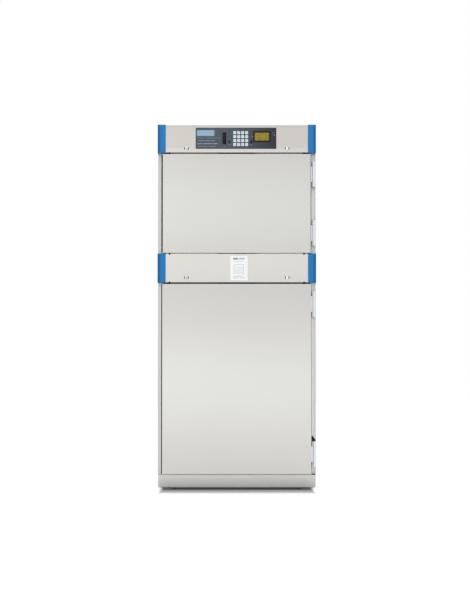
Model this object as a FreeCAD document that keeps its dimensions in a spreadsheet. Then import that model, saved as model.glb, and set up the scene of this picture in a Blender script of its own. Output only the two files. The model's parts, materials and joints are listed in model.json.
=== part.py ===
"""A two-chamber blanket warming cabinet, as a parametric FreeCAD document.

Frame: X to the right, Y to the back, Z up. The origin is on the floor under the middle of the cabinet.
Lengths are in millimetres. SIZES holds the driving dimensions, which go into a spreadsheet. PLACES
holds planes worked out from them. Every feature is bound to rules written with those two.
"""
import FreeCAD, Part
import os
import re
import Sketcher
from FreeCAD import Vector

SIZES = {
    # the whole cabinet
    "width": 762,
    "depth": 673,
    "sheet": 1.5,
    # heights, from the floor up
    "floor_gap": 10,
    "base_height": 61,
    "base_gap": 2,
    "lower_door_height": 914,
    "lower_gap": 7,
    "middle_height": 136.5,
    "middle_gap": 4,
    "upper_door_height": 478,
    "upper_gap": 6.5,
    "header_height": 132,
    # doors, from the front back
    "door_thickness": 46,
    "gasket_gap": 4.5,
    "left_reveal": 23,
    "right_reveal": 24,
    "door_edge_radius": 3,
    "plug_depth": 12,
    "plug_gap": 7,
    "plug_radius": 14,
    # gasket
    "gasket_width": 14,
    "gasket_inset": 2,
    "soft_gap": 0.3,
    # finger pull
    "pull_wall": 2,
    "pull_setback": 8,
    "pull_width": 20,
    "pull_mouth": 20.5,
    "pull_lip": 5.5,
    "pull_lip_turn": 6,
    # hinges
    "hinge_inset": 97,
    "hinge_height": 121,
    "hinge_setback": 14.5,
    "hinge_offset": 8.5,
    "knuckle_radius": 8.25,
    "door_knuckle": 75,
    "knuckle_gap": 0.5,
    "leaf": 2.5,
    "leaf_width": 18,
    "door_leaf_depth": 26,
    "pin_radius": 4,
    "pin_fit": 0.05,
    "pin_end": 1.5,
    # chambers
    "chamber_wall": 56,
    "chamber_margin": 30,
    "machine_depth": 102,
    "liner": 1,
    "rear_insulation": 32,
    # corner bumpers
    "bumper_proud": 3,
    "bumper_side": 5,
    "bumper_width": 39,
    "bumper_overhang": 2,
    "bumper_radius": 7,
    # fascia fasteners
    "fastener_panel_gap": 44,
    "header_fastener_rise": 19.5,
    "middle_fastener_rise": 23.3,
    "fastener_radius": 11,
    "fastener_head": 3,
    "fastener_shank": 7,
    "fastener_play": 0.5,
    "fastener_slot": 2.4,
    "cam_length": 22,
    "cam_thickness": 2,
    # rubber buffers
    "buffer_inset": 56,
    "buffer_radius": 3,
    "buffer_play": 0.5,
    # base and feet
    "base_inset": 3.5,
    "base_setback": 4,
    "base_sheet": 2,
    "base_radius": 10,
    "base_lip_radius": 4.5,
    "foot_inset_x": 62,
    "foot_inset_y": 70,
    "foot_radius": 25,
    "foot_pad": 8,
    "foot_nut": 11,
    # control panel
    "panel_width": 388,
    "panel_height": 102,
    "panel_shift": -4,
    "panel_rise": 2.4,
    "panel_proud": 1.5,
    "panel_corner": 2,
    "key_pitch": 19.05,
    "key": 15,
    "key_corner": 2,
    "key_play": 0.35,
    "key_flange": 1.2,
    "key_flange_rim": 1.1,
    "key_travel": 1.2,
    "keys_x": 22.6,
    "keys_z": -1.8,
    "small_button_height": 14,
    "left_button_width": 8,
    "left_button_x": -31.6,
    "right_button_width": 10,
    "right_button_x": 72.8,
    "small_button_z": -18,
    "display_width": 72,
    "display_height": 42,
    "display_x": 124.5,
    "display_z": 8,
    "bezel_rim": 5.5,
    "indicator_width": 18,
    "indicator_height": 57,
    "indicator_x": -56,
    "indicator_z": 0,
    "window_play": 0.2,
    "board_width": 290,
    "board_height": 100,
    "board_shift": 51,
    "board_thickness": 1.6,
    "board_standoff": 4,
    "board_post": 3,
    "plate_width": 83,
    "plate_height": 117,
    "plate_shift": 10,
    "plate_thickness": 0.8,
    # shelves
    "shelf_side_gap": 6,
    "shelf_end_gap": 12,
    "shelf_rim": 4,
    "shelf_rim_height": 12,
    "wire": 5,
    "wire_pitch": 60,
    "rail_leg": 16,
    "rail_thickness": 2,
    "rail_end_gap": 30,
    # warm air parts
    "duct_side_gap": 25,
    "duct_depth": 45,
    "duct_end_gap": 20,
    "duct_inlet_radius": 60,
    "duct_slot_width": 10,
    "duct_slot_length": 70,
    "duct_slot_pitch": 60,
    "wheel_radius": 74,
    "wheel_hub_radius": 13,
    "wheel_depth": 30,
    "wheel_back_gap": 5,
    "wheel_plate": 1.5,
    "wheel_ring": 14,
    "blade_thickness": 1.6,
    "blade_count": 16,
    "shaft_radius": 4,
    "shaft_hole": 18,
    "motor_radius": 45,
    "motor_length": 50,
    "motor_plate": 124,
    "motor_bearing": 30,
    "shaft_end_play": 1,
    "heater_radius": 92,
    "heater_tube_radius": 4,
    "heater_opening": 50,
    # back
    "back_recess": 6,
    "louvre_length": 170,
    "louvre_rise": 14,
    "louvre_depth": 5,
    "louvre_pitch": 24,
    "louvre_inset": 181,
    "inlet_inset": 131,
    "inlet_rise": 110,
    "inlet_width": 28,
    "inlet_height": 21,
    "inlet_wall": 2,
    "inlet_depth": 24,
    "inlet_flange": 3,
    "inlet_flange_width": 50,
    "contact_width": 2,
    "contact_height": 4,
    "catch_gap": 4,
    "catch_length": 60,
    "catch_width": 11,
    "catch_height": 3.3,
}

PLACES = {
    "side": "width / 2",
    "front": "-depth / 2",
    "back": "depth / 2",
    "face": "front + bumper_proud",
    "door_back": "face + door_thickness",
    "frame_front": "door_back + gasket_gap",
    "frame_back": "frame_front + sheet",
    "base_bottom": "floor_gap",
    "base_top": "base_bottom + base_height",
    "lower_door_bottom": "base_top + base_gap",
    "lower_door_top": "lower_door_bottom + lower_door_height",
    "middle_bottom": "lower_door_top + lower_gap",
    "middle_top": "middle_bottom + middle_height",
    "upper_door_bottom": "middle_top + middle_gap",
    "upper_door_top": "upper_door_bottom + upper_door_height",
    "header_bottom": "upper_door_top + upper_gap",
    "header_top": "header_bottom + header_height",
    "door_left": "-side + left_reveal",
    "door_right": "side - right_reveal",
    "chamber_side": "side - chamber_wall",
    "chamber_back": "back_inside - machine_depth",
    "duct_side": "chamber_side - duct_side_gap",
    "pull_near": "face + pull_setback + sheet",
    "pull_far": "pull_near + pull_mouth",
    "pull_inner": "door_left + pull_width",
    "insulation_back": "chamber_back + liner + rear_insulation",
    "duct_front": "chamber_back - duct_depth",
    "wheel_back": "chamber_back - wheel_back_gap",
    "back_face": "back - back_recess",
    "back_inside": "back_face - sheet",
    "fascia_side": "side - bumper_side",
    "hinge_x": "side - hinge_offset",
    "hinge_y": "face + hinge_setback",
    "panel_x": "panel_shift",
    "panel_z": "(header_bottom + header_top) / 2 + panel_rise",
    "panel_front": "face - panel_proud",
    "board_front": "face + sheet + board_standoff",
    "fastener_x": "panel_width / 2 - panel_shift + fastener_panel_gap",
    "buffer_x": "side - buffer_inset",
    "louvre_x": "side - louvre_inset",
    "inlet_x": "-side + inlet_inset",
    "inlet_z": "base_top + inlet_rise",
}

# Each chamber with its door: the planes that bound it and the heights of its shelves.
CHAMBERS = {
    "upper": {
        "door": ("upper_door_bottom", "upper_door_top"),
        "shelves": (1 / 2,),
        "louvres": 5,
    },
    "lower": {
        "door": ("lower_door_bottom", "lower_door_top"),
        "shelves": (1 / 3, 2 / 3),
        "louvres": 8,
    },
}

KEY_COUNT = 4

doc = FreeCAD.newDocument("BlanketWarmingCabinet")
sheet = doc.addObject("Spreadsheet::Sheet", "Sizes")
for row, (alias, size) in enumerate(SIZES.items(), start=1):
    sheet.set(f"A{row}", alias)
    sheet.set(f"B{row}", str(size))
    sheet.setAlias(f"B{row}", alias)
doc.recompute()

nodes = []


# ---------------------------------------------------------------- rules and bindings


def expression(rule):
    """Turn a rule in plain words into an expression on the spreadsheet."""

    def swap(match):
        word = match.group(0)
        if word in SIZES:
            return "Sizes." + word
        if word in PLACES:
            return "(" + expression(PLACES[word]) + ")"
        return word

    return re.sub(r"[a-z][a-z_]*", swap, str(rule))


def value(rule):
    """The number that a rule gives now."""
    result = sheet.evalExpression(expression(rule))
    return float(getattr(result, "Value", result))


def bind(thing, rules):
    """Bind properties of an object, given by name, to rules."""
    for name, rule in rules.items():
        thing.setExpression(name, expression(rule))


def node(thing, label):
    """Name an object as a piece of the cabinet that gets its own file."""
    thing.Label = label
    nodes.append(thing)
    return thing


# ---------------------------------------------------------------- sketches and features

# How a sketch's own axes lie in each plane: the sign of its normal along the plane's third axis.
NORMAL = {"XY_Plane": 1, "XZ_Plane": -1, "YZ_Plane": 1}


def rectangle(left, right, bottom, top):
    """The four corners of an upright rectangle."""
    return [(left, bottom), (right, bottom), (right, top), (left, top)]


def centred(x, y, width, height):
    """The four corners of a rectangle about its middle."""
    return rectangle(
        f"({x}) - ({width}) / 2",
        f"({x}) + ({width}) / 2",
        f"({y}) - ({height}) / 2",
        f"({y}) + ({height}) / 2",
    )


def disc(x, y, radius):
    """A full circle."""
    return {"x": x, "y": y, "radius": radius}


def regular(x, y, radius, sides):
    """The corners of a regular polygon, given the radius that its corners lie on."""
    angles = [360 * n / sides for n in range(sides)]
    return [(f"{x} + {radius} * cos({a} deg)", f"{y} + {radius} * sin({a} deg)") for a in angles]


def new_body(name):
    return doc.addObject("PartDesign::Body", name)


def pin_down(sketch, constraint, rule):
    """Add a dimension whose value follows a rule."""
    number = sketch.addConstraint(constraint)
    sketch.setExpression(f"Constraints[{number}]", expression(rule))


def draw_polygon(sketch, corners):
    """Draw a closed polygon and fix each corner by its two distances from the sketch's origin."""
    first = sketch.GeometryCount
    points = [Vector(value(x), value(y), 0) for x, y in corners]
    count = len(points)
    for index in range(count):
        edge = Part.LineSegment(points[index], points[(index + 1) % count])
        sketch.addGeometry(edge)
    for index in range(count):
        following = first + (index + 1) % count
        sketch.addConstraint(Sketcher.Constraint("Coincident", first + index, 2, following, 1))
    for index, (x, y) in enumerate(corners):
        across = Sketcher.Constraint("DistanceX", -1, 1, first + index, 1, points[index].x)
        pin_down(sketch, across, x)
        along = Sketcher.Constraint("DistanceY", -1, 1, first + index, 1, points[index].y)
        pin_down(sketch, along, y)


def draw_disc(sketch, circle):
    """Draw a circle with its centre and radius fixed."""
    centre = Vector(value(circle["x"]), value(circle["y"]), 0)
    radius = value(circle["radius"])
    number = sketch.addGeometry(Part.Circle(centre, Vector(0, 0, 1), radius))
    pin_down(sketch, Sketcher.Constraint("DistanceX", -1, 1, number, 3, centre.x), circle["x"])
    pin_down(sketch, Sketcher.Constraint("DistanceY", -1, 1, number, 3, centre.y), circle["y"])
    pin_down(sketch, Sketcher.Constraint("Radius", number, radius), circle["radius"])


def draw(body, plane, height, outlines):
    """Sketch outlines on one of the body's origin planes, moved to a height along its third axis."""
    sketch = body.newObject("Sketcher::SketchObject", "Sketch")
    origin_plane = next(f for f in body.Origin.OriginFeatures if f.Role == plane)
    sketch.AttachmentSupport = [(origin_plane, "")]
    sketch.MapMode = "FlatFace"
    bind(sketch, {"AttachmentOffset.Base.z": f"{NORMAL[plane]} * ({height})"})
    for outline in outlines:
        if isinstance(outline, dict):
            draw_disc(sketch, outline)
        else:
            draw_polygon(sketch, outline)
    return sketch


def raise_between(body, plane, low, high, *outlines):
    """Pad outlines from a low to a high coordinate along the plane's third axis."""
    feature = body.newObject("PartDesign::Pad", "Pad")
    feature.Profile = draw(body, plane, low, outlines)
    bind(feature, {"Length": f"({high}) - ({low})"})
    feature.Reversed = NORMAL[plane] < 0
    return feature


def cut_between(body, plane, low, high, *outlines):
    """Pocket outlines from a low to a high coordinate along the plane's third axis."""
    feature = body.newObject("PartDesign::Pocket", "Pocket")
    feature.Profile = draw(body, plane, low, outlines)
    bind(feature, {"Length": f"({high}) - ({low})"})
    feature.Reversed = NORMAL[plane] > 0
    return feature


def dress(body, kind, wanted, rules):
    """Fillet or chamfer the edges of the body's last feature that a test picks out."""
    doc.recompute()
    base = body.Tip
    names = [f"Edge{n}" for n, edge in enumerate(base.Shape.Edges, start=1) if wanted(edge)]
    feature = body.newObject(f"PartDesign::{kind}", kind)
    feature.Base = (base, names)
    bind(feature, rules)
    return feature


def soften(body, radius, wanted):
    return dress(body, "Fillet", wanted, {"Radius": radius})


def bevel(body, size, wanted):
    return dress(body, "Chamfer", wanted, {"Size": size})


def repeat_along(body, originals, axis, pitch, count):
    """Repeat features along one of the body's own axes at a pitch."""
    doc.recompute()
    pattern = body.newObject("PartDesign::LinearPattern", "LinearPattern")
    pattern.Originals = originals
    direction = next(f for f in body.Origin.OriginFeatures if f.Role == axis)
    pattern.Direction = (direction, [""])
    bind(pattern, {"Length": f"({pitch}) * ({count} - 1)"})
    pattern.Occurrences = count
    body.Tip = pattern
    return pattern


def repeat_round(body, originals, axis, count):
    """Repeat features in a full circle about one of the body's own axes."""
    doc.recompute()
    pattern = body.newObject("PartDesign::PolarPattern", "PolarPattern")
    pattern.Originals = originals
    direction = next(f for f in body.Origin.OriginFeatures if f.Role == axis)
    pattern.Axis = (direction, [""])
    pattern.Angle = 360
    bind(pattern, {"Occurrences": count})
    body.Tip = pattern
    return pattern


def runs_along(edge, axis):
    """Whether an edge is straight and lies along an axis, given as a vector."""
    if edge.Curve.TypeId != "Part::GeomLine":
        return False
    return abs(edge.tangentAt(edge.FirstParameter).dot(axis)) > 0.999


def near(number, target):
    return abs(number - target) < 1e-3


X = Vector(1, 0, 0)
Y = Vector(0, 1, 0)
Z = Vector(0, 0, 1)


# ---------------------------------------------------------------- primitives


def block(name, x, y, z):
    """A box between two planes on each axis."""
    box = doc.addObject("Part::Box", name)
    sides = {"Length": x, "Width": y, "Height": z}
    bind(box, {side: f"({high}) - ({low})" for side, (low, high) in sides.items()})
    bind(box, {f"Placement.Base.{letter}": low for letter, (low, _) in zip("xyz", (x, y, z))})
    return box


def rod(name, centre, direction, radius, length):
    """A cylinder that starts at a point and runs along an axis."""
    cylinder = doc.addObject("Part::Cylinder", name)
    cylinder.Placement.Rotation = FreeCAD.Rotation(Z, direction)
    bind(cylinder, {"Radius": radius, "Height": length})
    bind(cylinder, {f"Placement.Base.{letter}": rule for letter, rule in zip("xyz", centre)})
    return cylinder


def group(name, pieces):
    """Several separate solids that make one node."""
    compound = doc.addObject("Part::Compound", name)
    compound.Links = pieces
    return compound


# ---------------------------------------------------------------- casing


def make_outer_shell():
    """The wrap-round casing: two sides, top and bottom, with folded long edges."""
    body = new_body("OuterShell")
    raise_between(
        body, "XZ_Plane", "frame_back", "back", rectangle("-side", "side", "base_top", "header_top")
    )
    soften(body, "2 * sheet", lambda edge: runs_along(edge, Y))
    cut_between(
        body,
        "XZ_Plane",
        "frame_back",
        "back",
        rectangle("-side + sheet", "side - sheet", "base_top + sheet", "header_top - sheet"),
    )
    return node(body, "outer_shell")


def chamber_planes(chamber):
    """The bottom and top planes of a chamber."""
    bottom, top = CHAMBERS[chamber]["door"]
    return f"({bottom} + chamber_margin)", f"({top} - chamber_margin)"


def chamber_middle(chamber):
    bottom, top = chamber_planes(chamber)
    return f"({bottom} + {top}) / 2"


def make_face_frame():
    """The flat frame behind the doors, with a window for each chamber."""
    body = new_body("FaceFrame")
    raise_between(
        body,
        "XZ_Plane",
        "frame_front",
        "frame_back",
        rectangle("-side", "side", "base_top", "header_top"),
    )
    windows = [
        rectangle("-chamber_side", "chamber_side", *chamber_planes(chamber)) for chamber in CHAMBERS
    ]
    cut_between(body, "XZ_Plane", "frame_front", "frame_back", *windows)
    return node(body, "face_frame")


def make_liner(chamber):
    """The pressed inner box of a chamber, open to the front, with a hole for the blower's shaft."""
    body = new_body(chamber.title() + "Liner")
    bottom, top = chamber_planes(chamber)
    raise_between(
        body,
        "XZ_Plane",
        "frame_back",
        "chamber_back + liner",
        rectangle(
            "-chamber_side - liner", "chamber_side + liner", f"{bottom} - liner", f"{top} + liner"
        ),
    )
    cut_between(
        body,
        "XZ_Plane",
        "frame_back",
        "chamber_back",
        rectangle("-chamber_side", "chamber_side", bottom, top),
    )
    cut_between(
        body,
        "XZ_Plane",
        "chamber_back",
        "chamber_back + liner",
        centred("0", chamber_middle(chamber), "shaft_hole", "shaft_hole"),
    )
    return node(body, f"{chamber}_liner")


def make_insulation():
    """One block of insulation round both liners, below the electrical space at the top."""
    body = new_body("Insulation")
    raise_between(
        body,
        "XZ_Plane",
        "frame_back",
        "insulation_back",
        rectangle(
            "-side + sheet + soft_gap",
            "side - sheet - soft_gap",
            "base_top + sheet + soft_gap",
            "upper_door_top",
        ),
    )
    cavities = []
    shaft_holes = []
    for chamber in CHAMBERS:
        bottom, top = chamber_planes(chamber)
        cavities.append(
            rectangle(
                "-chamber_side - liner",
                "chamber_side + liner",
                f"{bottom} - liner",
                f"{top} + liner",
            )
        )
        shaft_holes.append(centred("0", chamber_middle(chamber), "shaft_hole", "shaft_hole"))
    cut_between(body, "XZ_Plane", "frame_back", "chamber_back + liner", *cavities)
    cut_between(body, "XZ_Plane", "chamber_back + liner", "insulation_back", *shaft_holes)
    return node(body, "insulation")


def make_back_panel():
    """The recessed back panel: louvres level with each blower motor, and the inlet's cut-out."""
    body = new_body("BackPanel")
    raise_between(
        body,
        "XZ_Plane",
        "back_inside",
        "back_face",
        rectangle("-side + sheet", "side - sheet", "base_top + sheet", "header_top - sheet"),
    )
    cut_between(
        body,
        "XZ_Plane",
        "back_inside",
        "back_face",
        centred("inlet_x", "inlet_z", "inlet_width", "inlet_height"),
    )
    for chamber, facts in CHAMBERS.items():
        count = facts["louvres"]
        lowest = f"{chamber_middle(chamber)} - louvre_pitch * {count - 1} / 2"
        for column in ("-louvre_x", "louvre_x"):
            make_louvres(body, column, lowest, count)
    return node(body, "back_panel")


def make_louvres(body, column, lowest, count):
    """A column of pressed hoods, each a closed wedge opened from below."""
    bottom = f"({lowest}) - louvre_rise / 2"
    top = f"({lowest}) + louvre_rise / 2"
    hood = raise_between(
        body,
        "YZ_Plane",
        f"{column} - louvre_length / 2",
        f"{column} + louvre_length / 2",
        [("back_face", bottom), ("back_face + louvre_depth", bottom), ("back_face", top)],
    )
    slot = cut_between(
        body,
        "YZ_Plane",
        f"{column} - louvre_length / 2 + sheet",
        f"{column} + louvre_length / 2 - sheet",
        [
            ("back_inside", bottom),
            ("back_face + louvre_depth - sheet", bottom),
            ("back_face", f"{top} - 3 * sheet"),
            ("back_inside", f"{top} - 3 * sheet"),
        ],
    )
    repeat_along(body, [hood, slot], "Z_Axis", "louvre_pitch", count)


def make_base_plinth():
    """A plinth of folded sheet, open at the top, with rounded lower side and front edges."""
    body = new_body("BasePlinth")
    front = "face + base_setback"
    back = "back - base_inset"
    raise_between(
        body,
        "XZ_Plane",
        front,
        back,
        rectangle("-side + base_inset", "side - base_inset", "base_bottom", "base_top"),
    )
    cut_between(
        body,
        "XZ_Plane",
        f"{front} + base_sheet",
        f"{back} - base_sheet",
        rectangle(
            "-side + base_inset + base_sheet",
            "side - base_inset - base_sheet",
            "base_bottom + base_sheet",
            "base_top",
        ),
    )
    # The inner bends come first: the square corner would break through the outer ones.
    for height, radius in (
        ("base_bottom + base_sheet", "base_radius - base_sheet"),
        ("base_bottom", "base_radius"),
    ):
        level = value(height)
        soften(body, radius, lambda edge: runs_along(edge, Y) and near(edge.BoundBox.ZMax, level))
    face = value(front)
    floor = value("base_bottom")
    soften(
        body,
        "base_lip_radius",
        lambda edge: near(edge.BoundBox.YMax, face) and near(edge.BoundBox.ZMax, floor),
    )
    return node(body, "base_plinth")


def foot_places():
    """The four points where a levelling foot stands."""
    return [
        (f"{side} * (side - foot_inset_x)", f"{end} * (depth / 2 - foot_inset_y)")
        for side in (-1, 1)
        for end in (-1, 1)
    ]


def make_levelling_feet():
    """Four levelling feet: a pad on the floor and a jam nut up against the plinth."""
    feet = []
    for number, (x, y) in enumerate(foot_places(), start=1):
        body = new_body(f"Foot{number}")
        raise_between(body, "XY_Plane", "0", "foot_pad", regular("0", "0", "foot_radius", 16))
        rim = value("foot_pad")
        bevel(body, "foot_pad / 3", lambda edge: near(edge.BoundBox.ZMin, rim))
        raise_between(body, "XY_Plane", "foot_pad", "floor_gap", regular("0", "0", "foot_nut", 6))
        bind(body, {"Placement.Base.x": x, "Placement.Base.y": y})
        feet.append(body)
    return node(group("Feet", feet), "levelling_feet")


# ---------------------------------------------------------------- fascias and bumpers


def make_fascia(label, bottom, top, rise, windows):
    """A folded cover, open to the back, with rounded front edges and two fastener holes."""
    body = new_body(label.title().replace("_", ""))
    front_outline = rectangle("-fascia_side", "fascia_side", bottom, top)
    raise_between(body, "XZ_Plane", "face", "frame_front", front_outline)
    face = value("face")
    soften(
        body,
        "sheet",
        lambda edge: near(edge.BoundBox.YMin, face) and near(edge.BoundBox.YMax, face),
    )
    cut_between(
        body,
        "XZ_Plane",
        "face + sheet",
        "frame_front",
        rectangle(
            "-fascia_side + sheet", "fascia_side - sheet", f"{bottom} + sheet", f"{top} - sheet"
        ),
    )
    hole = "sqrt(2) * fastener_shank + 2 * fastener_play"
    holes = [
        centred(f"{hand} * fastener_x", f"{bottom} + {rise}", hole, hole) for hand in (-1, 1)
    ]
    cut_between(body, "XZ_Plane", "face", "face + sheet", *holes, *windows)
    return node(body, label)


def make_corner_bumpers():
    """Four moulded caps on the corners of the fascias, wrapped round the front, side and ends."""
    caps = []
    for bottom, top in (("header_bottom", "header_top"), ("middle_bottom", "middle_top")):
        for hand in (-1, 1):
            body = new_body("Bumper")
            edge = f"{hand} * side"
            inner = f"{hand} * (side - bumper_width)"
            raise_between(
                body,
                "XY_Plane",
                f"{bottom} - bumper_overhang",
                f"{top} + bumper_overhang",
                rectangle(inner, edge, "front", "frame_front"),
            )
            corner = value(edge)
            front = value("front")
            soften(
                body,
                "bumper_radius",
                lambda e: runs_along(e, Z)
                and near(e.BoundBox.XMin, corner)
                and near(e.BoundBox.YMin, front),
            )
            back = value("frame_front")
            inside = value(inner)
            bevel(
                body,
                "bumper_overhang / 2",
                lambda e: near(e.BoundBox.ZMin, e.BoundBox.ZMax)
                and e.BoundBox.YMin < back - 1e-3
                and not (near(e.BoundBox.XMin, inside) and near(e.BoundBox.XMax, inside)),
            )
            cut_between(
                body,
                "XY_Plane",
                bottom,
                top,
                rectangle(inner, f"{hand} * fascia_side", "face", "frame_front"),
            )
            caps.append(body)
    return node(group("Bumpers", caps), "corner_bumpers")


def make_rubber_buffers():
    """Small rubber studs in the gaps, fixed to the fascias and just clear of the doors."""
    gaps = (
        ("upper_door_top + buffer_play", "header_bottom"),
        ("middle_top", "upper_door_bottom - buffer_play"),
        ("lower_door_top + buffer_play", "middle_bottom"),
    )
    studs = []
    for low, high in gaps:
        for hand in (-1, 1):
            body = new_body("Buffer")
            outline = regular(f"{hand} * buffer_x", "face + buffer_radius", "buffer_radius", 12)
            raise_between(body, "XY_Plane", low, high, outline)
            studs.append(body)
    return node(group("Buffers", studs), "rubber_buffers")


def make_fastener(name, hand, bottom, rise):
    """A quarter-turn fastener: slotted head, square shank and a cam behind the fascia's sheet."""
    body = new_body(name.title().replace("_", ""))
    head = regular("0", "0", "fastener_radius", 24)
    raise_between(body, "XZ_Plane", "-fastener_head", "0", head)
    crown = -value("fastener_head")
    bevel(body, "fastener_head * 0.6", lambda edge: near(edge.BoundBox.YMax, crown))
    cut_between(
        body,
        "XZ_Plane",
        "-fastener_head",
        "-fastener_head / 2",
        centred("0", "0", "fastener_slot", "fastener_radius * 1.5"),
    )
    cam_front = "sheet + soft_gap"
    cam_back = f"{cam_front} + cam_thickness"
    shank = centred("0", "0", "fastener_shank", "fastener_shank")
    raise_between(body, "XZ_Plane", "0", cam_back, shank)
    raise_between(
        body, "XZ_Plane", cam_front, cam_back, centred("0", "0", "cam_length", "fastener_shank")
    )
    bind(
        body,
        {
            "Placement.Base.x": f"{hand} * fastener_x",
            "Placement.Base.y": "face",
            "Placement.Base.z": f"{bottom} + {rise}",
        },
    )
    return node(body, name)


# ---------------------------------------------------------------- control panel


def key_places():
    """The sixteen keys: their numbers along and down, and their centres."""
    middle = (KEY_COUNT - 1) / 2
    return [
        (
            line * KEY_COUNT + column + 1,
            f"panel_x + keys_x + ({column - middle}) * key_pitch",
            f"panel_z + keys_z + ({middle - line}) * key_pitch",
        )
        for line in range(KEY_COUNT)
        for column in range(KEY_COUNT)
    ]


SMALL_BUTTONS = {
    "left_round_button": ("left_button_x", "left_button_width"),
    "right_round_button": ("right_button_x", "right_button_width"),
}


def make_control_panel():
    """The flat plate over the header's window, with holes for keys, buttons and windows."""
    body = new_body("ControlPanel")
    outline = centred("panel_x", "panel_z", "panel_width", "panel_height")
    raise_between(body, "XZ_Plane", "panel_front", "face", outline)
    bevel(body, "panel_corner", lambda edge: runs_along(edge, Y))
    holes = [centred(x, z, "key + 2 * key_play", "key + 2 * key_play") for _, x, z in key_places()]
    cut_between(body, "XZ_Plane", "panel_front", "face", *holes)
    for shift, width in SMALL_BUTTONS.values():
        centre = (f"panel_x + {shift}", "panel_z + small_button_z")
        size = (f"{width} + 2 * key_play", "small_button_height + 2 * key_play")
        cut_between(body, "XZ_Plane", "panel_front", "face", centred(*centre, *size))
    cut_between(
        body,
        "XZ_Plane",
        "panel_front",
        "face",
        centred("panel_x + display_x", "panel_z + display_z", "display_width", "display_height"),
        centred(
            "panel_x + indicator_x", "panel_z + indicator_z", "indicator_width", "indicator_height"
        ),
    )
    return node(body, "control_panel")


def make_display_bezel():
    """A raised rim round the display."""
    body = new_body("DisplayBezel")
    centre = ("panel_x + display_x", "panel_z + display_z")
    outer = ("display_width + 2 * bezel_rim", "display_height + 2 * bezel_rim")
    raise_between(body, "XZ_Plane", "front", "panel_front", centred(*centre, *outer))
    bevel(body, "panel_corner", lambda edge: runs_along(edge, Y))
    cut_between(
        body, "XZ_Plane", "front", "panel_front", centred(*centre, "display_width", "display_height")
    )
    return node(body, "display_bezel")


def make_display_windows():
    """The display and the upright indicator: clear blocks that stand on the board."""
    display = block(
        "Display",
        *spans("panel_x + display_x", "display_width - 2 * window_play"),
        z_span("panel_z + display_z", "display_height - 2 * window_play"),
    )
    indicator = block(
        "Indicator",
        *spans("panel_x + indicator_x", "indicator_width - 2 * window_play"),
        z_span("panel_z + indicator_z", "indicator_height - 2 * window_play"),
    )
    return node(group("Windows", [display, indicator]), "display_windows")


def spans(middle, width):
    """The x and y limits of a block that passes through the panel down to the board."""
    return z_span(middle, width), ("panel_front - window_play", "board_front")


def z_span(middle, size):
    return f"{middle} - ({size}) / 2", f"{middle} + ({size}) / 2"


def make_push_button(name, x, z, width, height, corner):
    """A captive push-button: cap, flange behind the panel and a stem towards the board."""
    body = new_body(name.title().replace("_", ""))
    raise_between(body, "XZ_Plane", "front", "face + soft_gap / 3", centred(x, z, width, height))
    bevel(body, corner, lambda edge: runs_along(edge, Y))
    raise_between(
        body,
        "XZ_Plane",
        "face + soft_gap / 3",
        "face + soft_gap / 3 + key_flange",
        centred(x, z, f"{width} + 2 * key_flange_rim", f"{height} + 2 * key_flange_rim"),
    )
    raise_between(
        body,
        "XZ_Plane",
        "face + soft_gap / 3 + key_flange",
        "board_front - key_travel - soft_gap",
        centred(x, z, f"{width} / 3", f"{width} / 3"),
    )
    return node(body, name)


def make_control_board():
    """The circuit board behind the panel, on four standoffs from the header's front wall."""
    body = new_body("ControlBoard")
    outline = centred("panel_x + board_shift", "panel_z", "board_width", "board_height")
    raise_between(body, "XZ_Plane", "board_front", "board_front + board_thickness", outline)
    posts = [
        regular(
            f"panel_x + board_shift + {across} * (board_width / 2 - 2 * board_post)",
            f"panel_z + {up} * (board_height / 2 - 2 * board_post)",
            "board_post",
            6,
        )
        for across in (-1, 1)
        for up in (-1, 1)
    ]
    raise_between(body, "XZ_Plane", "face + sheet", "board_front", *posts)
    return node(body, "control_board")


def make_info_plate():
    """A bare plate fixed to the middle fascia."""
    body = new_body("InfoPlate")
    outline = centred(
        "plate_shift", "(middle_bottom + middle_top) / 2", "plate_width", "plate_height"
    )
    raise_between(body, "XZ_Plane", "face - plate_thickness", "face", outline)
    bevel(body, "panel_corner", lambda edge: runs_along(edge, Y))
    return node(body, "info_plate")


# ---------------------------------------------------------------- doors


def make_door_skin(chamber):
    """The front pan of a door. Its left edge folds back and in again, to make the finger pull's front."""
    bottom, top = CHAMBERS[chamber]["door"]
    body = new_body(chamber.title() + "DoorSkin")
    outline = rectangle("door_left", "door_right", bottom, top)
    raise_between(body, "XZ_Plane", "face", "door_back - sheet", outline)
    face = value("face")
    soften(body, "door_edge_radius", lambda edge: near(edge.BoundBox.YMax, face))
    cut_between(
        body,
        "XZ_Plane",
        "face + sheet",
        "door_back - sheet",
        rectangle(
            "door_left + sheet", "door_right - sheet", f"{bottom} + sheet", f"{top} - sheet"
        ),
    )
    low = f"{bottom} + sheet"
    high = f"{top} - sheet"
    side_opening = rectangle("door_left", "door_left + sheet", "pull_near", "door_back - sheet")
    cut_between(body, "XY_Plane", low, high, side_opening)
    flange = rectangle(
        "door_left + sheet", "pull_inner + pull_wall", "pull_near - sheet", "pull_near"
    )
    raise_between(body, "XY_Plane", low, high, flange)
    return node(body, f"{chamber}_door_skin")


def make_door_pull(chamber):
    """A finger pull the full height of the door: a channel open to the left with a turned lip."""
    bottom, top = CHAMBERS[chamber]["door"]
    body = new_body(chamber.title() + "DoorPull")
    outline = [
        ("pull_inner", "pull_near"),
        ("pull_inner + pull_wall", "pull_near"),
        ("pull_inner + pull_wall", "pull_far + pull_wall"),
        ("door_left - pull_lip", "pull_far + pull_wall"),
        ("door_left - pull_lip", "pull_far - pull_lip_turn"),
        ("door_left - pull_lip + pull_wall", "pull_far - pull_lip_turn"),
        ("door_left - pull_lip + pull_wall", "pull_far"),
        ("pull_inner", "pull_far"),
    ]
    raise_between(body, "XY_Plane", f"{bottom} + sheet", f"{top} - sheet", outline)
    return node(body, f"{chamber}_door_pull")


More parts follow.
